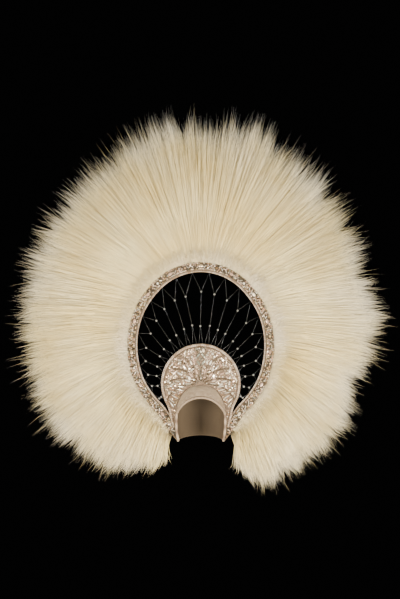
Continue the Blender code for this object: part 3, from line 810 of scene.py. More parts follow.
# Bright bars on the plaque's sides. Columns: distance from the middle, height, degrees from upright
PLAQUE_BARS = (
    (0.042, -0.002, 92.0),
    (0.064, -0.011, 84.0),
    (0.066, -0.022, 76.0),
    (0.084, -0.030, 72.0),
    (0.083, -0.044, 62.0),
    (0.094, -0.055, 50.0),
    (0.092, -0.070, 40.0),
)

# Half length, half width and height of each kind of stone
STONES = {
    "round": (0.00425, 0.00425, 0.0024),
    "oval": (0.0080, 0.0050, 0.0026),
    "baguette": (0.0100, 0.00325, 0.0024),
    "marquise": (0.0105, 0.00425, 0.0024),
    "small": (0.0024, 0.0024, 0.0019),
    "bead": (0.0014, 0.0014, 0.0016),
    "bugle": (0.0070, 0.0013, 0.0013),
    "bar": (0.0125, 0.0019, 0.0018),
}
STONE_TILT = 0.17
STONE_SHADES = (0.78, 1.04)

# Tints of the stones
TINTS = {
    "clear": ("#F4EDDF", "#FFFBF2", "#DAD2C4"),
    "rose": ("#E8CCBC", "#F2DDCF", "#D6B6A2"),
    "pearl": ("#E9DBC2", "#F5EAD6", "#D5C3A6"),
    "peach": ("#DDB598", "#E6CBB4", "#C79C7C"),
    "gold": ("#BBA077", "#D2BC94", "#92795A"),
    "smoke": ("#8E8F82", "#ABAC9F", "#686A61"),
    "bronze": ("#544737", "#63543F", "#41382C"),
}


def petal_place(x, z):
    """Angle from the focus with the petals unbent, distance from it, and place across its petal:
    -1 to 1 at its borders."""
    distance = np.hypot(x, z - FOCUS_Z)
    angle = np.abs(np.degrees(np.arctan2(x, z - FOCUS_Z)))
    first = FURROWS[0]
    bend = PETAL_CURL * (distance / BOARD_RADIUS) ** 2
    angle = np.where(angle > first + bend, angle - bend, angle * first / (first + bend))
    centres = np.array([row[0] for row in PETALS])
    halves = np.array([row[1] for row in PETALS])
    places = (angle[..., None] - centres) / halves
    nearest = np.abs(places).argmin(-1)
    across = np.take_along_axis(places, nearest[..., None], -1)[..., 0]
    return angle, distance, across


def relief(x, z):
    """Height of the padded petals: full in a petal's middle, none in the furrows between them."""
    _, distance, across = petal_place(x, z)
    rounded = 1 - np.clip(np.abs(across), 0, 1) ** 4
    return PETAL_RELIEF * rounded * smooth_step(0.5, 1.5, distance / PETAL_START)


def crescent(front, back, rows, raised=None):
    """A bent plate between the cap and the piping. Each section runs out along its front and back
    along its rear; raised gives its front's relief, which fades at both edges."""
    angle = np.linspace(-TAIL_END, TAIL_END, 181)
    share = np.linspace(0.0, 1.0, rows)[None, :, None]
    outer = rim_outline(angle, PIPING_SEAT)[:, None]
    sides = []
    for depth in (front, back):
        inner = from_pivot(angle, cap_radius(angle, depth, CAP_WALL + CLEARANCE))[:, None]
        side = inner + (outer - inner) * share
        side[..., 1] = board_y(side[..., 0], depth)
        sides.append(side)
    if raised is not None:
        edge = np.sin(math.pi * share[..., 0]) ** 0.3
        sides[0][..., 1] -= raised(sides[0][..., 0], sides[0][..., 2]) * edge
    corners = np.concatenate([sides[0], sides[1][:, ::-1]], 1)
    return corners.reshape(-1, 3), tube_faces(len(angle), 2 * rows)


# Cap

ROLL_GATHER = 0.0045
WRAP_PITCH = 0.0064
GATHER_PITCH = 0.0052
GATHER_DEPTH = 0.0019
GATHER_REACH = 0.055
GATHER_MOST = 1.3

# Columns of the cap that end its arch, its side and its nape, and the degrees from the front at
# which they leave the crown
CAP_COLUMNS = (0, 36, 46, 77)
CAP_STARTS = (0.0, 62.0, 70.0, 180.0)


def cap_columns():
    """The cap's edge, from the front round to the nape on one side: azimuth, height and the azimuth
    at which each column leaves the crown."""
    of_arch, of_side, of_nape = np.diff(CAP_COLUMNS) + 1
    arch = arch_point(np.linspace(0.0, ARCH_END, of_arch))
    edge_z = np.linspace(arch[-1, 2], -CAP_SIDE_DROP, of_side)[1:]
    edge_azimuth = np.arctan2(side_x(-CAP_SIDE_REACH, edge_z), CAP_SIDE_REACH)
    rear = np.linspace(edge_azimuth[-1], math.pi, of_nape)[1:]
    towards_nape = np.maximum(0.0, -np.cos(rear)) ** 2
    nape_z = -(CAP_SIDE_DROP + (CAP_NAPE_DROP - CAP_SIDE_DROP) * towards_nape)
    azimuth = np.concatenate([np.arctan2(arch[:, 0], -arch[:, 1]), edge_azimuth, rear])
    z = np.concatenate([arch[:, 2], edge_z, nape_z])
    starts = np.radians(np.interp(np.arange(len(z)), CAP_COLUMNS, CAP_STARTS))
    azimuth = np.concatenate([azimuth, -azimuth[-2:0:-1]])
    return azimuth, np.concatenate([z, z[-2:0:-1]]), np.concatenate([starts, -starts[-2:0:-1]])


def cap(material):
    """The satin cap: rows run from the crown to the edge, and its gathers follow the edge.

    Height goes as sin(turn) ** (2 / roundness), the azimuth bends towards the edge's with the
    third power of the row, and gathers sink by (1 - cos) waves of the distance from the edge.
    """
    azimuth, edge_z, start = cap_columns()
    half_height = HEAD_HALF[2] + CAP_WALL
    lowest = (edge_z + HEAD_HALF[2]) / half_height
    edge_turn = np.sign(lowest) * np.arcsin(np.abs(lowest) ** (HEAD_ROUNDNESS / 2))
    row = np.concatenate([np.linspace(0.02, 0.5, 16), np.linspace(0.5, 1.0, 46)[1:]])[:, None]
    turn = math.pi / 2 + (edge_turn - math.pi / 2) * row
    z = np.sign(turn) * np.abs(np.sin(turn)) ** (2 / HEAD_ROUNDNESS) * half_height - HEAD_HALF[2]
    point = form_point(start + (azimuth - start) * row**3, z, CAP_WALL)
    steps = np.linalg.norm(np.diff(point, axis=0), axis=-1)
    distance = np.concatenate([np.cumsum(steps[::-1], 0)[::-1], np.zeros((1, len(azimuth)))])
    column = np.arange(len(azimuth))
    wander = 0.7 * np.sin(0.21 * column) + 0.5 * np.sin(0.47 * column + 1.0)
    wave = 0.5 - 0.5 * np.cos(2 * math.pi * distance / GATHER_PITCH + wander)
    wave += 0.35 * np.sin(2 * math.pi * distance / (GATHER_PITCH * 0.43) - 1.6 * wander)
    face = 0.35 + 0.65 * smooth_step(0.0, 0.5, np.cos(azimuth))
    fade = np.exp(-((distance / GATHER_REACH) ** 2)) * face * smooth_step(0.0, 0.002, distance)
    fold = np.clip(wave, 0, GATHER_MOST) * fade
    point -= outwards_at(point) * (GATHER_DEPTH * fold)[..., None]
    rows, columns = fold.shape
    top = np.stack([np.full(columns, rows * columns), column, (column + 1) % columns], -1)
    faces = [grid_faces(rows, columns, around=True)[:, ::-1], top]
    corners = np.concatenate([point.reshape(-1, 3), [[0.0, 0.0, CAP_WALL]]])
    # fold is also kept on the cloth, where the blush satin darkens by it: painted shade in the gathers'
    # valleys.
    piece = mesh_piece("cap_cloth", corners, faces, material, fold=np.append(fold.ravel(), 0.0))
    piece.data.materials.append(wrong_side_in_painted_shade())
    wall = piece.modifiers.new("wall", "SOLIDIFY")
    wall.thickness = CAP_WALL
    wall.offset = -1.0
    wall.material_offset = 1
    dressed(piece, "satin", "cap_crown", "cap_sides")


def cord_piece(name, path, upwards, diameter, sides, material):
    """A round cord along a path, its ends rounded: size sqrt(1 - (1 - d / r) ** 2) near an end."""
    across, up = frames_along(path, upwards)
    along = way_along(path)
    from_end = np.minimum(along, along[-1] - along) / (diameter / 2)
    sizes = np.sqrt(np.clip(1 - (1 - np.clip(from_end, 0.02, 1.0)) ** 2, 0.0, 1.0))
    corners = swept(path, across, up, circle(sides, diameter / 2), sizes)
    faces = tube_faces(len(path), sides)
    along = np.repeat(along, sides)
    turn = np.abs(np.tile(np.arange(sides) / sides, len(path)) - 0.5) * 2
    # fold: painted shade of the gathers along a cord, from 0.3 to 1; only the blush satin of the brow roll
    # reads it.
    fold = 0.65 + 0.35 * np.sin(2 * math.pi * along / ROLL_GATHER)
    return mesh_piece(name, corners, faces, material, along=along, turn=turn, fold=fold)


def brow_roll(material):
    """The padded roll ahead of the face opening's edge, by one radius."""
    arch = arch_point(np.linspace(-ARCH_END, ARCH_END, 181))
    z = np.linspace(arch[-1, 2], -CAP_SIDE_DROP, 24)[1:]
    side = np.stack([side_x(-CAP_SIDE_REACH, z), np.full_like(z, -CAP_SIDE_REACH), z], -1)
    edge = np.concatenate([side[::-1] * (-1, 1, 1), arch, side])
    along = unit(np.gradient(edge, axis=0))
    forwards = unit(np.cross(along, outwards_at(edge)))
    forwards *= -np.sign(forwards[:, 1:2])
    path = edge + forwards * (ROLL_DIAMETER / 2 + CLEARANCE)
    piece = cord_piece("brow_padding", path, (0.0, -1.0, 0.2), ROLL_DIAMETER, 14, material)
    dressed(piece, "padded_satin", "brow_roll")


# Stones

def stone_shape(sides, rings, point=False):
    """A stone as rings of (radius, height) with closed ends, or a point on top: corners and faces."""
    turn = (np.arange(sides) + 0.5) * 2 * math.pi / sides
    corners = [np.stack([r * np.cos(turn), r * np.sin(turn), np.full(sides, h)], -1) for r, h in rings]
    last = (len(rings) - 1) * sides
    faces = [grid_faces(len(rings), sides, around=True), np.arange(sides)[::-1][None]]
    if point:
        corners.append(np.array([[0.0, 0.0, 1.0]]))
        side = np.arange(sides)
        faces.append(np.stack([last + side, last + (side + 1) % sides, np.full(sides, last + sides)], -1))
    else:
        faces.append((last + np.arange(sides))[None])
    return np.concatenate(corners), faces


CUT_STONE = stone_shape(8, [(0.92, -0.25), (1.0, 0.30), (0.86, 0.68), (0.58, 1.0)])
SMALL_STONE = stone_shape(6, [(1.0, -0.2), (1.0, 0.45), (0.60, 1.0)])
DOME = stone_shape(6, [(0.85, -0.2), (1.0, 0.35), (0.68, 0.82)], point=True)
SHAPES = {"small": SMALL_STONE, "bead": DOME, "bugle": SMALL_STONE}


class Stones:
    """A field of stones, gathered as arrays and made one mesh at the end."""

    def __init__(self, seed):
        self.random = np.random.default_rng(seed)
        self.corners, self.faces, self.tints, self.used = [], [], [], 0
        self.taken = np.zeros((0, 3))

    def set(self, kind, tints, place, along, normal, size=1.0):
        """Sets stones of a kind in mixed tints, each tilted a little by chance: its own axes are
        along, across and the surface's normal."""
        if not len(place):
            return
        shape, faces = SHAPES.get(kind, CUT_STONE)
        tilt = self.random.normal(0.0, STONE_TILT, (len(place), 2))
        normal = unit(normal + along * tilt[:, :1] + np.cross(normal, along) * tilt[:, 1:])
        along = unit(along - normal * (along * normal).sum(-1, keepdims=True))
        across = np.cross(normal, along)
        sizes = np.array(STONES[kind]) * np.broadcast_to(size, len(place))[:, None]
        local = shape[None] * sizes[:, None]
        axes = np.stack([along, across, normal], 1)
        self.corners.append((place[:, None] + local @ axes).reshape(-1, 3))
        self.faces += copies(faces, len(shape), len(place), self.used)
        shades = np.array([colour(code)[:3] for tint in tints for code in TINTS[tint]])
        chosen = shades[self.random.integers(0, len(shades), len(place))]
        chosen = chosen * self.random.uniform(*STONE_SHADES, (len(place), 1))
        self.tints.append(np.repeat(chosen, len(shape), 0))
        self.used += len(shape) * len(place)

    def free(self, place, size):
        """Whether stones of a size clear the ground that is held: rows of x, z and reach."""
        if not len(self.taken):
            return np.ones(len(place), bool)
        gap = np.linalg.norm(place[:, None, [0, 2]] - self.taken[None, :, :2], axis=-1)
        return (gap > self.taken[None, :, 2] + size).all(1)

    def hold(self, place, reach):
        """Marks ground as held."""
        rows = np.column_stack([place[:, 0], place[:, 2], np.full(len(place), reach)])
        self.taken = np.concatenate([self.taken, rows])

    def made(self, name, material):
        """The mesh of all that was set, its faces flat."""
        corners, tints = np.concatenate(self.corners), np.concatenate(self.tints)
        return mesh_piece(name, corners, self.faces, material, smooth=False, tint=tints)


# Stones on the plaque

def on_plaque(x, z):
    """Place on the raised ground of the plaque, and the normal there."""
    y = board_y(x, -CLEARANCE - SETTING_THICKNESS) - relief(x, z)
    normal = unit(np.stack([x / BOARD_BEND_RADIUS, -np.ones_like(x), np.zeros_like(x)], -1))
    return np.stack([x, y, z], -1), normal


def leaning(lean, normal):
    """Direction on the plaque that leans from upright by an angle."""
    flat = np.stack([np.sin(lean), np.zeros_like(lean), np.cos(lean)], -1)
    return unit(flat - normal * (flat * normal).sum(-1, keepdims=True))


def inside_plaque(x, z, margin):
    """Whether a place clears the cap and the piping by a margin."""
    angle = np.arctan2(x, z + PLAQUE_PIVOT_DROP)
    distance = np.hypot(x, z + PLAQUE_PIVOT_DROP)
    clear = distance > cap_radius(angle) + margin
    clear &= distance < rim_radius(angle) - PIPING_SEAT - margin
    return clear & (np.abs(angle) < TAIL_END - 0.03)


def about_focus(radius, lean):
    """Place on the plaque's drawing by distance and angle about the focus."""
    return radius * np.sin(lean), FOCUS_Z + radius * np.cos(lean)


def bent(radius, lean):
    """Angle about the focus of a place in the petals, which bend outwards with the distance."""
    share = np.clip(np.abs(lean) / math.radians(FURROWS[0]), 0.0, 1.0)
    return lean + np.sign(lean) * share * math.radians(PETAL_CURL) * (radius / BOARD_RADIUS) ** 2


def plaque_main(stones):
    """The main cut stones: three fans and a lozenge of four."""
    for share, first, last, count, kind in PLAQUE_FAN:
        lean = np.radians(np.linspace(first, last, count))
        lean = np.concatenate([lean, -lean[lean > 0]])
        x, z = about_focus(share * BOARD_RADIUS, lean)
        place, normal = on_plaque(x, z)
        stones.set(kind, ("clear", "rose"), place, leaning(lean, normal), normal)
        reach = STONES[kind][0] * (1.0 if kind == "round" else 0.45)
        for shift in ((0.0,) if kind == "round" else (-0.55, 0.0, 0.55)):
            sx, sz = about_focus(share * BOARD_RADIUS + shift * STONES[kind][0], lean)
            stones.hold(on_plaque(sx, sz)[0], reach)
    rise, half_width, half_height, turn = LOZENGE
    across, up = np.array((1, 1, -1, -1)), np.array((1, -1, 1, -1))
    x, z = across * half_width, FOCUS_Z + rise * BOARD_RADIUS + up * half_height
    place, normal = on_plaque(x, z)
    stones.set("marquise", ("smoke",), place, leaning(-across * up * turn, normal), normal)
    stones.hold(place, STONES["marquise"][0] * 0.62)


def plaque_petals(stones):
    """Small stones in arcs across each petal; the arcs bulge outwards: r (1 - 0.06 q ** 2)."""
    pitch = 2.15 * STONES["small"][0]
    for side in (1, -1):
        for middle_angle, half, tints in PETALS[0 if side > 0 else 1:]:
            for radius in PETAL_START + pitch * np.arange(PETAL_ARCS):
                widened = PETAL_CURL / FURROWS[0] * (radius / BOARD_RADIUS) ** 2
                reach = math.radians(half) * radius * (1 + widened * (middle_angle <= FURROWS[0]))
                count = max(int(2 * reach * 0.92 / pitch), 1)
                across = (np.arange(count) - (count - 1) / 2) * pitch / reach
                across = across + stones.random.uniform(-0.34, 0.34, count) * pitch / reach
                distance = radius * (1 - 0.06 * across**2)
                distance = distance + stones.random.uniform(-0.0013, 0.0013, count)
                lean = bent(distance, side * np.radians(middle_angle + half * across))
                x, z = about_focus(distance, lean)
                place, normal = on_plaque(x, z)
                keep = inside_plaque(x, z, SMALL_MARGIN) & stones.free(place, 0.0020)
                keep &= stones.random.uniform(0, 1, count) < 0.93
                size = stones.random.uniform(0.70, 1.30, count)[keep]
                stones.set("small", tints, place[keep], leaning(lean, normal)[keep], normal[keep], size)


def plaque_furrows(stones):
    """Dark bronze beads, three lines abreast, along the furrows between the petals: painted shade of
    the furrows.
    """
    radius = np.arange(PETAL_START * 0.6, 0.132, BEAD_PITCH)
    for border in FURROWS:
        for side in (1, -1):
            for shift in (-FURROW_WIDTH / 2, 0.0, FURROW_WIDTH / 2):
                lean = bent(radius, side * (math.radians(border) + shift / radius))
                x, z = about_focus(radius, lean)
                place, normal = on_plaque(x, z)
                keep = inside_plaque(x, z, 0.002) & stones.free(place, 0.0006)
                stones.set("bead", ("bronze",), place[keep], leaning(lean, normal)[keep], normal[keep])
                if shift == 0.0:
                    stones.hold(place[keep], 0.0024)


def plaque_tails(stones):
    """Small stones on the tails, in rows along the rim."""
    tints = ("rose", "clear", "pearl", "gold")
    for inwards in np.arange(0.0035, 0.030, TAIL_ROWS):
        angle = np.arange(-TAIL_END, TAIL_END, TAIL_PITCH)
        point = rim_outline(angle, PIPING_SEAT + inwards)
        x, z = point[:, 0], point[:, 2]
        place, normal = on_plaque(x, z)
        outside_fan = np.abs(petal_place(x, z)[0]) > PETALS[-1][0] + PETALS[-1][1] + 2.0
        keep = outside_fan & inside_plaque(x, z, SMALL_MARGIN) & stones.free(place, 0.0021)
        size = stones.random.uniform(0.78, 1.15, keep.sum())
        stones.set("small", tints, place[keep], leaning(angle, normal)[keep], normal[keep], size)


def plaque_scatter(stones):
    """Larger stones strewn over the petals, peach to the left and gold low on both sides."""
    lean = np.radians(stones.random.uniform(-100.0, 100.0, PLAQUE_STREWN))
    radius = BOARD_RADIUS * np.sqrt(stones.random.uniform(0.12, 1.05, PLAQUE_STREWN))
    x, z = about_focus(radius, lean)
    place, normal = on_plaque(x, z)
    turned = leaning(lean + stones.random.normal(0.0, 0.5, PLAQUE_STREWN), normal)
    size = stones.random.uniform(0.55, 0.95, PLAQUE_STREWN)
    for number in range(PLAQUE_STREWN):
        one = slice(number, number + 1)
        if not (inside_plaque(x[one], z[one], 0.006)[0] and stones.free(place[one], 0.0042)[0]):
            continue
        tints = ("gold", "peach") if z[number] < -0.020 else ("clear", "pearl")
        if x[number] < -0.060:
            tints = ("peach",)
        kind = ("oval", "round")[number % 2]
        stones.set(kind, tints, place[one], turned[one], normal[one], size[one])
        stones.hold(place[one], 0.0050 * size[number])


def plaque_bars(stones):
    """Bright bars, slanting outwards down both sides."""
    rows = np.array(PLAQUE_BARS)
    for side in (1, -1):
        x, z, lean = side * rows[:, 0], rows[:, 1], side * np.radians(rows[:, 2])
        place, normal = on_plaque(x, z)
        keep = inside_plaque(x, z, 0.004)
        stones.set("bar", ("clear",), place[keep], leaning(lean, normal)[keep], normal[keep])
        for shift in (-0.0095, -0.0048, 0.0, 0.0048, 0.0095):
            stones.hold(on_plaque(x + shift * np.sin(lean), z + shift * np.cos(lean))[0][keep], 0.0026)


# Ring

def off_cap(points):
    """Moves what would lie in the cap out to its side."""
    grow = CAP_WALL + CLEARANCE
    flat = points * (0.0, 1.0, 1.0)
    left = np.clip(1.0 - level(flat, grow), 0.0, 1.0)
    half_width = (HEAD_HALF[0] + grow) * left ** (1 / HEAD_ROUNDNESS)
    moved = points.copy()
    inside = level(points, grow) < 1.0
    moved[..., 0] = np.where(inside, np.sign(points[..., 0]) * half_width, points[..., 0])
    return moved


def ring_angles(outwards, stations):
    """Evenly spaced angles round the ring, up to where a line along it meets the cap, and the
    way along the line."""
    fine = np.linspace(math.radians(140.0), RING_END, 200)
    line = ring_point(fine, outwards, BAND_FRONT_Y)
    inside = level(line, CAP_WALL) < 1.0
    end = fine[inside.argmax()] if inside.any() else RING_END
    fine = np.linspace(-end, end, 800)
    along = way_along(ring_point(fine, outwards / 2))
    return np.interp(np.linspace(0, along[-1], stations), along, fine), along[-1]


def ring_strip(name, inner, outer, front, back, material, rows=6, crown=0.0):
    """A strip round the ring: a rounded rectangle between two distances from the opening."""
    angle, _ = ring_angles(outer, 260)
    share = np.linspace(0.0, 1.0, rows)
    bulge = crown * (1 - (2 * share - 1) ** 4)
    profile_out = np.concatenate([share, share[::-1]]) * (outer - inner) + inner
    profile_y = np.concatenate([front - bulge, np.full(rows, back)])
    corners = np.stack([ring_point(angle, distance, y) for distance, y in zip(profile_out, profile_y)], 1)
    return mesh_piece(name, off_cap(corners), tube_faces(len(angle), 2 * rows), material)


def ring_cord(material):
    """The cord along the ring's opening."""
    angle, _ = ring_angles(RING_PIPING_DIAMETER / 2, 380)
    path = ring_point(angle, RING_PIPING_DIAMETER / 2, (BAND_FRONT_Y + BAND_BACK_Y) / 2)
    piece = cord_piece("ring_cord", path, (0.0, -1.0, 0.0), RING_PIPING_DIAMETER, 10, material)
    dressed(piece, "padded_satin", "halo_piping")


RING_TINTS = ("rose", "clear", "gold", "pearl", "smoke", "bronze", "gold", "peach", "bronze", "rose")
RING_MAIN = 25
MAIN_END = math.radians(156.0)
RING_BUGLES = 95
RING_PITCH = 0.0051
RING_MARGIN = 0.0045


def ring_stones(stones):
    """The jewelled strip: ovals and rounds along its middle, small stones and slanting bugles
    between."""
    ground = BAND_FRONT_Y - CLEARANCE - SETTING_THICKNESS
    middle_line = (BAND_INNER + BAND_OUTER) / 2
    angle = MAIN_END * np.linspace(-1, 1, RING_MAIN)

    def frames(at, outwards):
        place = ring_point(at, outwards, ground)
        along = unit(ring_point(at + 0.01, outwards, ground) - place)
        return place, along, np.broadcast_to((0.0, -1.0, 0.0), place.shape)
    place, along, normal = frames(angle, np.full(RING_MAIN, middle_line))
    stones.set("oval", ("rose", "pearl"), place[::2], along[::2], normal[::2])
    stones.set("round", ("clear", "gold"), place[1::2], along[1::2], normal[1::2])
    stones.hold(place[::2], 0.0068)
    stones.hold(place[1::2], 0.0045)
    even, length = ring_angles(BAND_OUTER, 2)
    bugles = np.linspace(even[0], even[-1], RING_BUGLES + 2)[1:-1]
    place, along, normal = frames(bugles, np.full(RING_BUGLES, middle_line))
    count = np.arange(RING_BUGLES)
    slant = unit(along + np.cross(normal, along) * np.where(count % 8 < 4, 1.0, -1.0)[:, None])
    keep = stones.free(place, 0.0035) & (count % 4 < 2)
    stones.set("bugle", ("clear",), place[keep], slant[keep], normal[keep])
    stones.hold(place[keep], 0.0030)
    fine, _ = ring_angles(BAND_OUTER, int(length / RING_PITCH))
    lines = np.linspace(BAND_INNER + RING_MARGIN, BAND_OUTER - RING_MARGIN, 5)
    for number, outwards in enumerate(lines):
        at = fine + stones.random.uniform(-0.004, 0.004, len(fine)) + 0.012 * (number % 2)
        place, along, normal = frames(at, np.full(len(at), outwards))
        keep = stones.free(place, 0.0022) & (level(place, CAP_WALL + 0.003) > 1.0)
        keep &= stones.random.uniform(0, 1, len(at)) < 0.92
        size = stones.random.uniform(0.72, 1.15, keep.sum())
        stones.set("small", RING_TINTS, place[keep], along[keep], normal[keep], size)


# Net

NET_STRANDS = 10
NET_SPREAD = math.radians(108.0)
NET_EVENNESS = 0.80
NET_THREAD = 0.0006
NET_BEAD = 0.0068
NET_SEAT = 0.0005
NET_END = 2.79
FIRST_BEAD = 0.26
SECOND_BEAD = 0.70


def rods(starts, ends, radius, sides=5):
    """Straight round rods between pairs of points, closed at both ends."""
    along = unit(ends - starts)
    across = unit(np.cross(along, (0.0, 1.0, 0.0)))
    up = np.cross(across, along)
    ring = circle(sides, radius)
    offset = ring[None, :, :1] * across[:, None] + ring[None, :, 1:] * up[:, None]
    corners = np.concatenate([starts[:, None] + offset, ends[:, None] + offset], 1)
    return corners.reshape(-1, 3), copies(tube_faces(2, sides), 2 * sides, len(starts))


def distance_reader(line):
    """A function that reads a line's distance from the board's centre by angle."""
    x, z = line[:, 0], line[:, 2] + BOARD_CENTRE_DROP
    angles, distances = np.arctan2(x, z), np.hypot(x, z)
    return lambda at: np.interp(at, angles, distances)


rim_at = distance_reader(rim_outline(np.linspace(-TAIL_END, TAIL_END, 400)))
opening_at = distance_reader(opening_point(np.linspace(-NET_END, NET_END, 400)))


def net_place(angle, share):
    """A place in the net: share of the way from the plaque's piping to the ring's opening."""
    inner = rim_at(angle) + PLAQUE_PIPING_DIAMETER / 2 + NET_SEAT
    radius = inner + (opening_at(angle) - NET_SEAT - inner) * share
    rim_y = board_y(inner * np.sin(angle), BOARD_THICKNESS / 2)
    y = rim_y + ((BAND_FRONT_Y + BAND_BACK_Y) / 2 - rim_y) * share
    return np.stack([radius * np.sin(angle), y, radius * np.cos(angle) - BOARD_CENTRE_DROP], -1)


def thread_angle(number):
    """Angle of a thread by its number from the top: a linear and a cubic part, wider low down."""
    share = number / NET_STRANDS
    return NET_SPREAD * (NET_EVENNESS * share + (1 - NET_EVENNESS) * share**3)


def bead_net():
    """Threads that fan out from the plaque with two crystals each, pairs that spread from the first
    crystal to the rim, and a zigzag from the second crystals to the ring."""
    number = np.arange(-NET_STRANDS, NET_STRANDS + 1)
    random = np.random.default_rng(19)
    first, second = (
        net_place(
            thread_angle(number + random.normal(0.0, 0.06, number.size)),
            share + random.normal(0.0, 0.012, number.size),
        )
        for share in (FIRST_BEAD, SECOND_BEAD)
    )
    outer = net_place(thread_angle(number[:-1] + 0.5), 1.0)
    starts = [first, second[:-1], second[1:]]
    ends = [second, outer, outer]
    for shift in (-0.32, 0.32):
        starts.append(net_place(thread_angle(number + shift), 0.0))
        ends.append(first)
    corners, faces = rods(np.concatenate(starts), np.concatenate(ends), NET_THREAD / 2)
    threads = mesh_piece("net_threads", corners, faces, silver_thread())
    dressed(threads, "crystal_net", "bead_net")
    shape, faces = stone_shape(8, [(0.30, -0.92), (1.0, -0.12), (1.0, 0.12), (0.30, 0.92)])
    upright = np.array(((1, 0, 0), (0, 0, 1), (0, -1, 0.0)))
    centres = np.concatenate([first, second])
    corners = centres[:, None] + shape[None] * (NET_BEAD / 2) @ upright
    faces = copies(faces, len(shape), len(centres))
    beads = mesh_piece("net_crystals", corners, faces, net_crystal(), smooth=False)
    dressed(beads, "crystal_net")


# Materials

def blush_satin():
    """Blush satin: long floats of filament give it a broad soft sheen along one way. Its floats
    are drawn 1.2 mm apart, coarser than real so that they show."""
    material, tree, shader = new_material("gathered blush satin")
    place = add(tree, "TexCoord", {}, "Object")
    clouds = add(tree, "TexNoise", {"Vector": place, "Scale": 38.0, "Detail": 3.0}, "Fac")
    body = add(tree, "ValToRGB", {0: clouds}, stops=((0.3, "#B3A390"), (0.7, "#C5B7A4")))
    # Painted shade: the satin darkens towards #8E7A6F by its fold attribute, most in the valleys of the
    # cap's gathers and of the brow roll's gathers.
    fold = add(tree, "Attribute", {}, "Fac", attribute_name="fold")
    shade = add(tree, "ValToRGB", {0: fold}, stops=((0.0, "#FFFFFF"), (1.0, "#8E7A6F")))
    body = add(tree, "VectorMath", {0: body, 1: shade}, operation="MULTIPLY")
    weave = add(tree, "TexWave", {"Vector": place, "Scale": 260.0, "Distortion": 1.5}, "Fac")
    bump = add(tree, "Bump", {"Height": weave, "Distance": 0.0002, "Strength": 0.25})
    connect(tree, shader, {"Base Color": body, "Roughness": 0.42, "Normal": bump})
    connect(tree, shader, {"Sheen Weight": 0.3, "Sheen Roughness": 0.35})
    return material


def wrong_side_in_painted_shade():
    """The satin's wrong side, inside the cap: short floats, so it is matt and a little darker of itself;
    its browns are darker still as painted shade of the hollow inside the cap. Its twill is drawn 2.1 mm
    apart, coarser than real so that it shows."""
    material, tree, shader = new_material("matt wrong side of satin, darkened as painted shade")
    place = add(tree, "TexCoord", {}, "Object")
    lines = {"Vector": place, "Scale": 170.0, "Distortion": 0.8}
    twill = add(tree, "TexWave", lines, "Fac", bands_direction="DIAGONAL")
    body = add(tree, "ValToRGB", {0: twill}, stops=((0.0, "#463B2F"), (1.0, "#5A4D3D")))
    bump = add(tree, "Bump", {"Height": twill, "Distance": 0.0002, "Strength": 0.3})
    connect(tree, shader, {"Base Color": body, "Roughness": 0.8, "Normal": bump})
    return material


def wrapped_satin():
    """Pale satin cut on the bias and wrapped round a cord: slanting wraps 6.4 mm apart, each with painted
    shade, darkest where the wraps meet and lightest on its crest, and worn in patches."""
    material, tree, shader = new_material("pale bias satin")
    along = add(tree, "Attribute", {}, "Fac", attribute_name="along")
    turn = add(tree, "Attribute", {}, "Fac", attribute_name="turn")
    slant = add(tree, "Math", {0: along, 1: 2 / WRAP_PITCH, 2: turn}, operation="MULTIPLY_ADD")
    fold = add(tree, "Math", {0: slant, 1: 1.0}, operation="PINGPONG")
    # Painted shade across each wrap: dark where the wraps meet, light on their crests.
    tones = ((0.0, "#8A7B6B"), (0.45, "#B3A597"), (1.0, "#C3B7AB"))
    body = add(tree, "ValToRGB", {0: fold}, stops=tones)
    place = add(tree, "TexCoord", {}, "Object")
    clouds = add(tree, "TexNoise", {"Vector": place, "Scale": 95.0, "Detail": 3.0}, "Fac")
    worn = add(tree, "ValToRGB", {0: clouds}, stops=((0.40, "#FFFFFF"), (0.62, "#B9A48F")))
    body = add(tree, "VectorMath", {0: body, 1: worn}, operation="MULTIPLY")
    bump = add(tree, "Bump", {"Height": fold, "Distance": 0.0006, "Strength": 0.6})
    connect(tree, shader, {"Base Color": body, "Roughness": 0.40, "Normal": bump})
    connect(tree, shader, {"Sheen Weight": 0.25, "Sheen Roughness": 0.35})
    return material


def embroidered_ground(name, dark, light):
    """Padded net ground under the stones: matt thread, darker where it sinks between them as painted
    shade, in cells 2.4 mm wide."""
    material, tree, shader = new_material(name)
    place = add(tree, "TexCoord", {}, "Object")
    cells = add(tree, "TexVoronoi", {"Vector": place, "Scale": 420.0}, "Distance")
    body = add(tree, "ValToRGB", {0: cells}, stops=((0.0, light), (0.7, dark)))
    raised = {"Height": cells, "Distance": 0.0006, "Strength": 0.5}
    bump = add(tree, "Bump", raised, invert=True)
    connect(tree, shader, {"Base Color": body, "Roughness": 0.7, "Normal": bump})
    return material


def stiff_buckram():
    """Buckram: open cotton weave stiffened with size. Its threads are drawn 2.4 mm apart, coarser
    than real so that they show."""
    material, tree, shader = new_material("sized cotton buckram")
    place = add(tree, "TexCoord", {}, "Object")
    lines = {"Vector": place, "Scale": 130.0, "Distortion": 0.6}
    grain = [add(tree, "TexWave", lines, "Fac", bands_direction=way) for way in ("X", "Z")]
    weave = add(tree, "Math", {0: grain[0], 1: grain[1]}, operation="MULTIPLY")
    body = add(tree, "ValToRGB", {0: weave}, stops=((0.0, "#A8917A"), (0.8, "#C7B199")))
    bump = add(tree, "Bump", {"Height": weave, "Distance": 0.0003, "Strength": 0.4})
    connect(tree, shader, {"Base Color": body, "Roughness": 0.75, "Normal": bump})
    return material


def cut_glass():
    """Foil-backed cut glass: hard polished facets over a bright backing, tinted stone by stone."""
    material, tree, shader = new_material("foil-backed cut glass")
    tint = add(tree, "Attribute", {}, "Vector", attribute_name="tint")
    connect(tree, shader, {"Base Color": tint, "Roughness": 0.16, "Metallic": 0.35})
    connect(tree, shader, {"Coat Weight": 0.6, "Coat Roughness": 0.05})
    return material


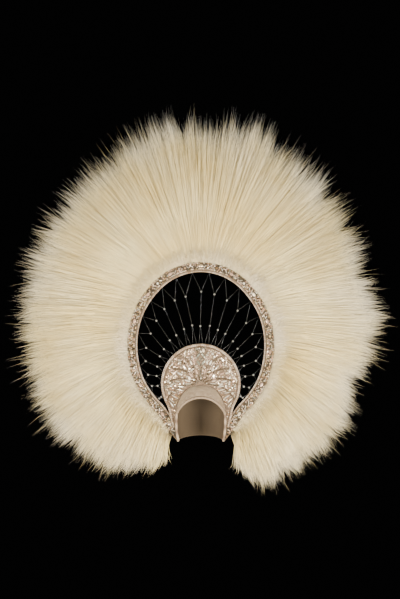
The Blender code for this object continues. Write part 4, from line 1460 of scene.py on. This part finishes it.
def net_crystal():
    """Lead crystal beads: bright facets over an opaque, finely mottled grey body, which paints in the dark
    room seen through clear crystal.
    """
    material, tree, shader = new_material("crystal beads")
    place = add(tree, "TexCoord", {}, "Object")
    clouds = add(tree, "TexNoise", {"Vector": place, "Scale": 900.0}, "Fac")
    body = add(tree, "ValToRGB", {0: clouds}, stops=((0.35, "#6C6F73"), (0.65, "#9EA1A4")))
    connect(tree, shader, {"Base Color": body, "Roughness": 0.1, "Metallic": 0.2})
    connect(tree, shader, {"Coat Weight": 0.6, "Coat Roughness": 0.04})
    return material


def silver_thread():
    """Silvered thread: fine metal strip spun round a core."""
    material, tree, shader = new_material("silvered thread")
    place = add(tree, "TexCoord", {}, "Object")
    twist = add(tree, "TexNoise", {"Vector": place, "Scale": 1500.0}, "Fac")
    body = add(tree, "ValToRGB", {0: twist}, stops=((0.3, "#3A3C3E"), (0.7, "#6C6F72")))
    connect(tree, shader, {"Base Color": body, "Roughness": 0.35, "Metallic": 0.7})
    return material


# Cream of the hair by the share of its way: pale down, then warmer, and paler again at the tips
HAIR_CREAMS = (
    (0.0, "#FCF4E0"),
    (0.05, "#FCF2D4"),
    (0.16, "#FBF0C8"),
    (0.40, "#F9EDBE"),
    (1.0, "#F8F1DA"),
)


def hair_feather():
    """Long hair-like feather: fine keratin fibres, matt with a soft sheen, each tuft a little
    lighter or darker than the next."""
    material, tree, shader = new_material("cream hair-like feather")
    along = add(tree, "Attribute", {}, "Fac", attribute_name="along")
    tone = add(tree, "Attribute", {}, "Fac", attribute_name="tone")
    body = add(tree, "ValToRGB", {0: along}, stops=HAIR_CREAMS)
    spread = add(tree, "Math", {0: tone, 1: 0.05, 2: 1.0}, operation="MULTIPLY_ADD")
    shade = add(tree, "VectorMath", {0: body, "Scale": spread}, operation="SCALE")
    place = add(tree, "TexCoord", {}, "Object")
    clouds = add(tree, "TexNoise", {"Vector": place, "Scale": 5.0, "Detail": 4.0}, "Fac")
    aged = add(tree, "ValToRGB", {0: clouds}, stops=((0.35, "#FFFFFF"), (0.65, "#F4ECCB")))
    shade = add(tree, "VectorMath", {0: shade, 1: aged}, operation="MULTIPLY")
    connect(tree, shader, {"Base Color": shade, "Roughness": 0.62, "Specular IOR Level": 0.35})
    connect(tree, shader, {"Sheen Weight": 0.35, "Sheen Roughness": 0.4})
    return material


# The headdress put together

def plaque(cord, glass):
    """The plaque: board, padded ground, cord and stones."""
    corners, faces = crescent(0.0, BOARD_THICKNESS, 4)
    dressed(mesh_piece("plaque_back", corners, faces, stiff_buckram()), "buckram", "plaque_board")
    ground = embroidered_ground("padded plaque ground", "#54463A", "#9A8470")
    corners, faces = crescent(-CLEARANCE - SETTING_THICKNESS, -CLEARANCE, 24, raised=relief)
    dressed(mesh_piece("plaque_ground", corners, faces, ground), "jewels")
    angle = np.linspace(-TAIL_END, TAIL_END, 340)
    path = rim_outline(angle)
    path[:, 1] = board_y(path[:, 0], BOARD_THICKNESS / 2)
    piece = cord_piece("plaque_cord", path, (0.0, -1.0, 0.0), PLAQUE_PIPING_DIAMETER, 12, cord)
    dressed(piece, "padded_satin", "plaque_piping")
    stones = Stones(51)
    plaque_main(stones)
    plaque_furrows(stones)
    plaque_bars(stones)
    plaque_scatter(stones)
    plaque_petals(stones)
    plaque_tails(stones)
    dressed(stones.made("plaque_glass", glass), "jewels", "plaque_stones")


def ring(cord, glass):
    """The ring: band, jewelled strip and cord."""
    band = embroidered_ground("beige braid", "#594B3B", "#7C6C57")
    piece = ring_strip("ring_band", BAND_INNER, BAND_OUTER, BAND_FRONT_Y, BAND_BACK_Y, band)
    dressed(piece, "braid", "halo_band")
    edge = (BAND_WIDTH - BAND_FIELD_WIDTH) / 2
    front = BAND_FRONT_Y - CLEARANCE
    ground = embroidered_ground("braid ground", "#2B241C", "#584B3B")
    low, high = BAND_INNER + edge, BAND_OUTER - edge
    dressed(ring_strip("ring_ground", low, high, front - SETTING_THICKNESS, front, ground), "jewels")
    ring_cord(cord)
    stones = Stones(77)
    ring_stones(stones)
    dressed(stones.made("ring_glass", glass), "jewels", "halo_stones")


satin, cord, glass = blush_satin(), wrapped_satin(), cut_glass()
cap(satin)
brow_roll(satin)
plaque(cord, glass)
ring(cord, glass)
bead_net()
feather = hair_feather()
for number in range(PLUMES):
    plume(number, feather)


# Light and floor

# Soft square lamps. Columns: name, place, size, power, tint
LAMPS = (
    ("front_left", (-2.1, -2.7, -0.5), 1.2, 184.0, "#FFF2DA"),
    ("front_right", (2.1, -2.6, -0.8), 1.2, 216.0, "#FFF2DA"),
    ("front_middle", (0.3, -4.4, -0.5), 2.0, 84.0, "#FFF2DA"),
    ("behind_left", (-2.4, 3.0, 1.2), 1.6, 150.0, "#FFFFFF"),
    ("behind_right", (2.4, 3.0, 1.2), 1.6, 150.0, "#FFFFFF"),
)


def studio():
    """Soft lamps in front and at both front sides, two behind, a dark room and a plain pale floor."""
    for name, place, size, power, tint in LAMPS:
        light = bpy.data.lights.new(name, "AREA")
        light.size, light.energy, light.color = size, power, colour(tint)[:3]
        aimed(light, place, middle + Vector((0.0, 0.0, -0.05)))
    world = bpy.data.worlds.new("room")
    world.use_nodes = True
    world.node_tree.nodes["Background"].inputs["Color"].default_value = (0.0015, 0.0015, 0.0015, 1.0)
    bpy.context.scene.world = world
    material, tree, shader = new_material("pale plaster floor")
    connect(tree, shader, {"Base Color": colour("#CFCBC4"), "Roughness": 0.8})
    rim = np.column_stack([circle(96, FLOOR_RADIUS), np.full(96, -FLOOR_DROP)])
    mesh_piece("floor", rim, [np.arange(96)[None]], material)


studio()
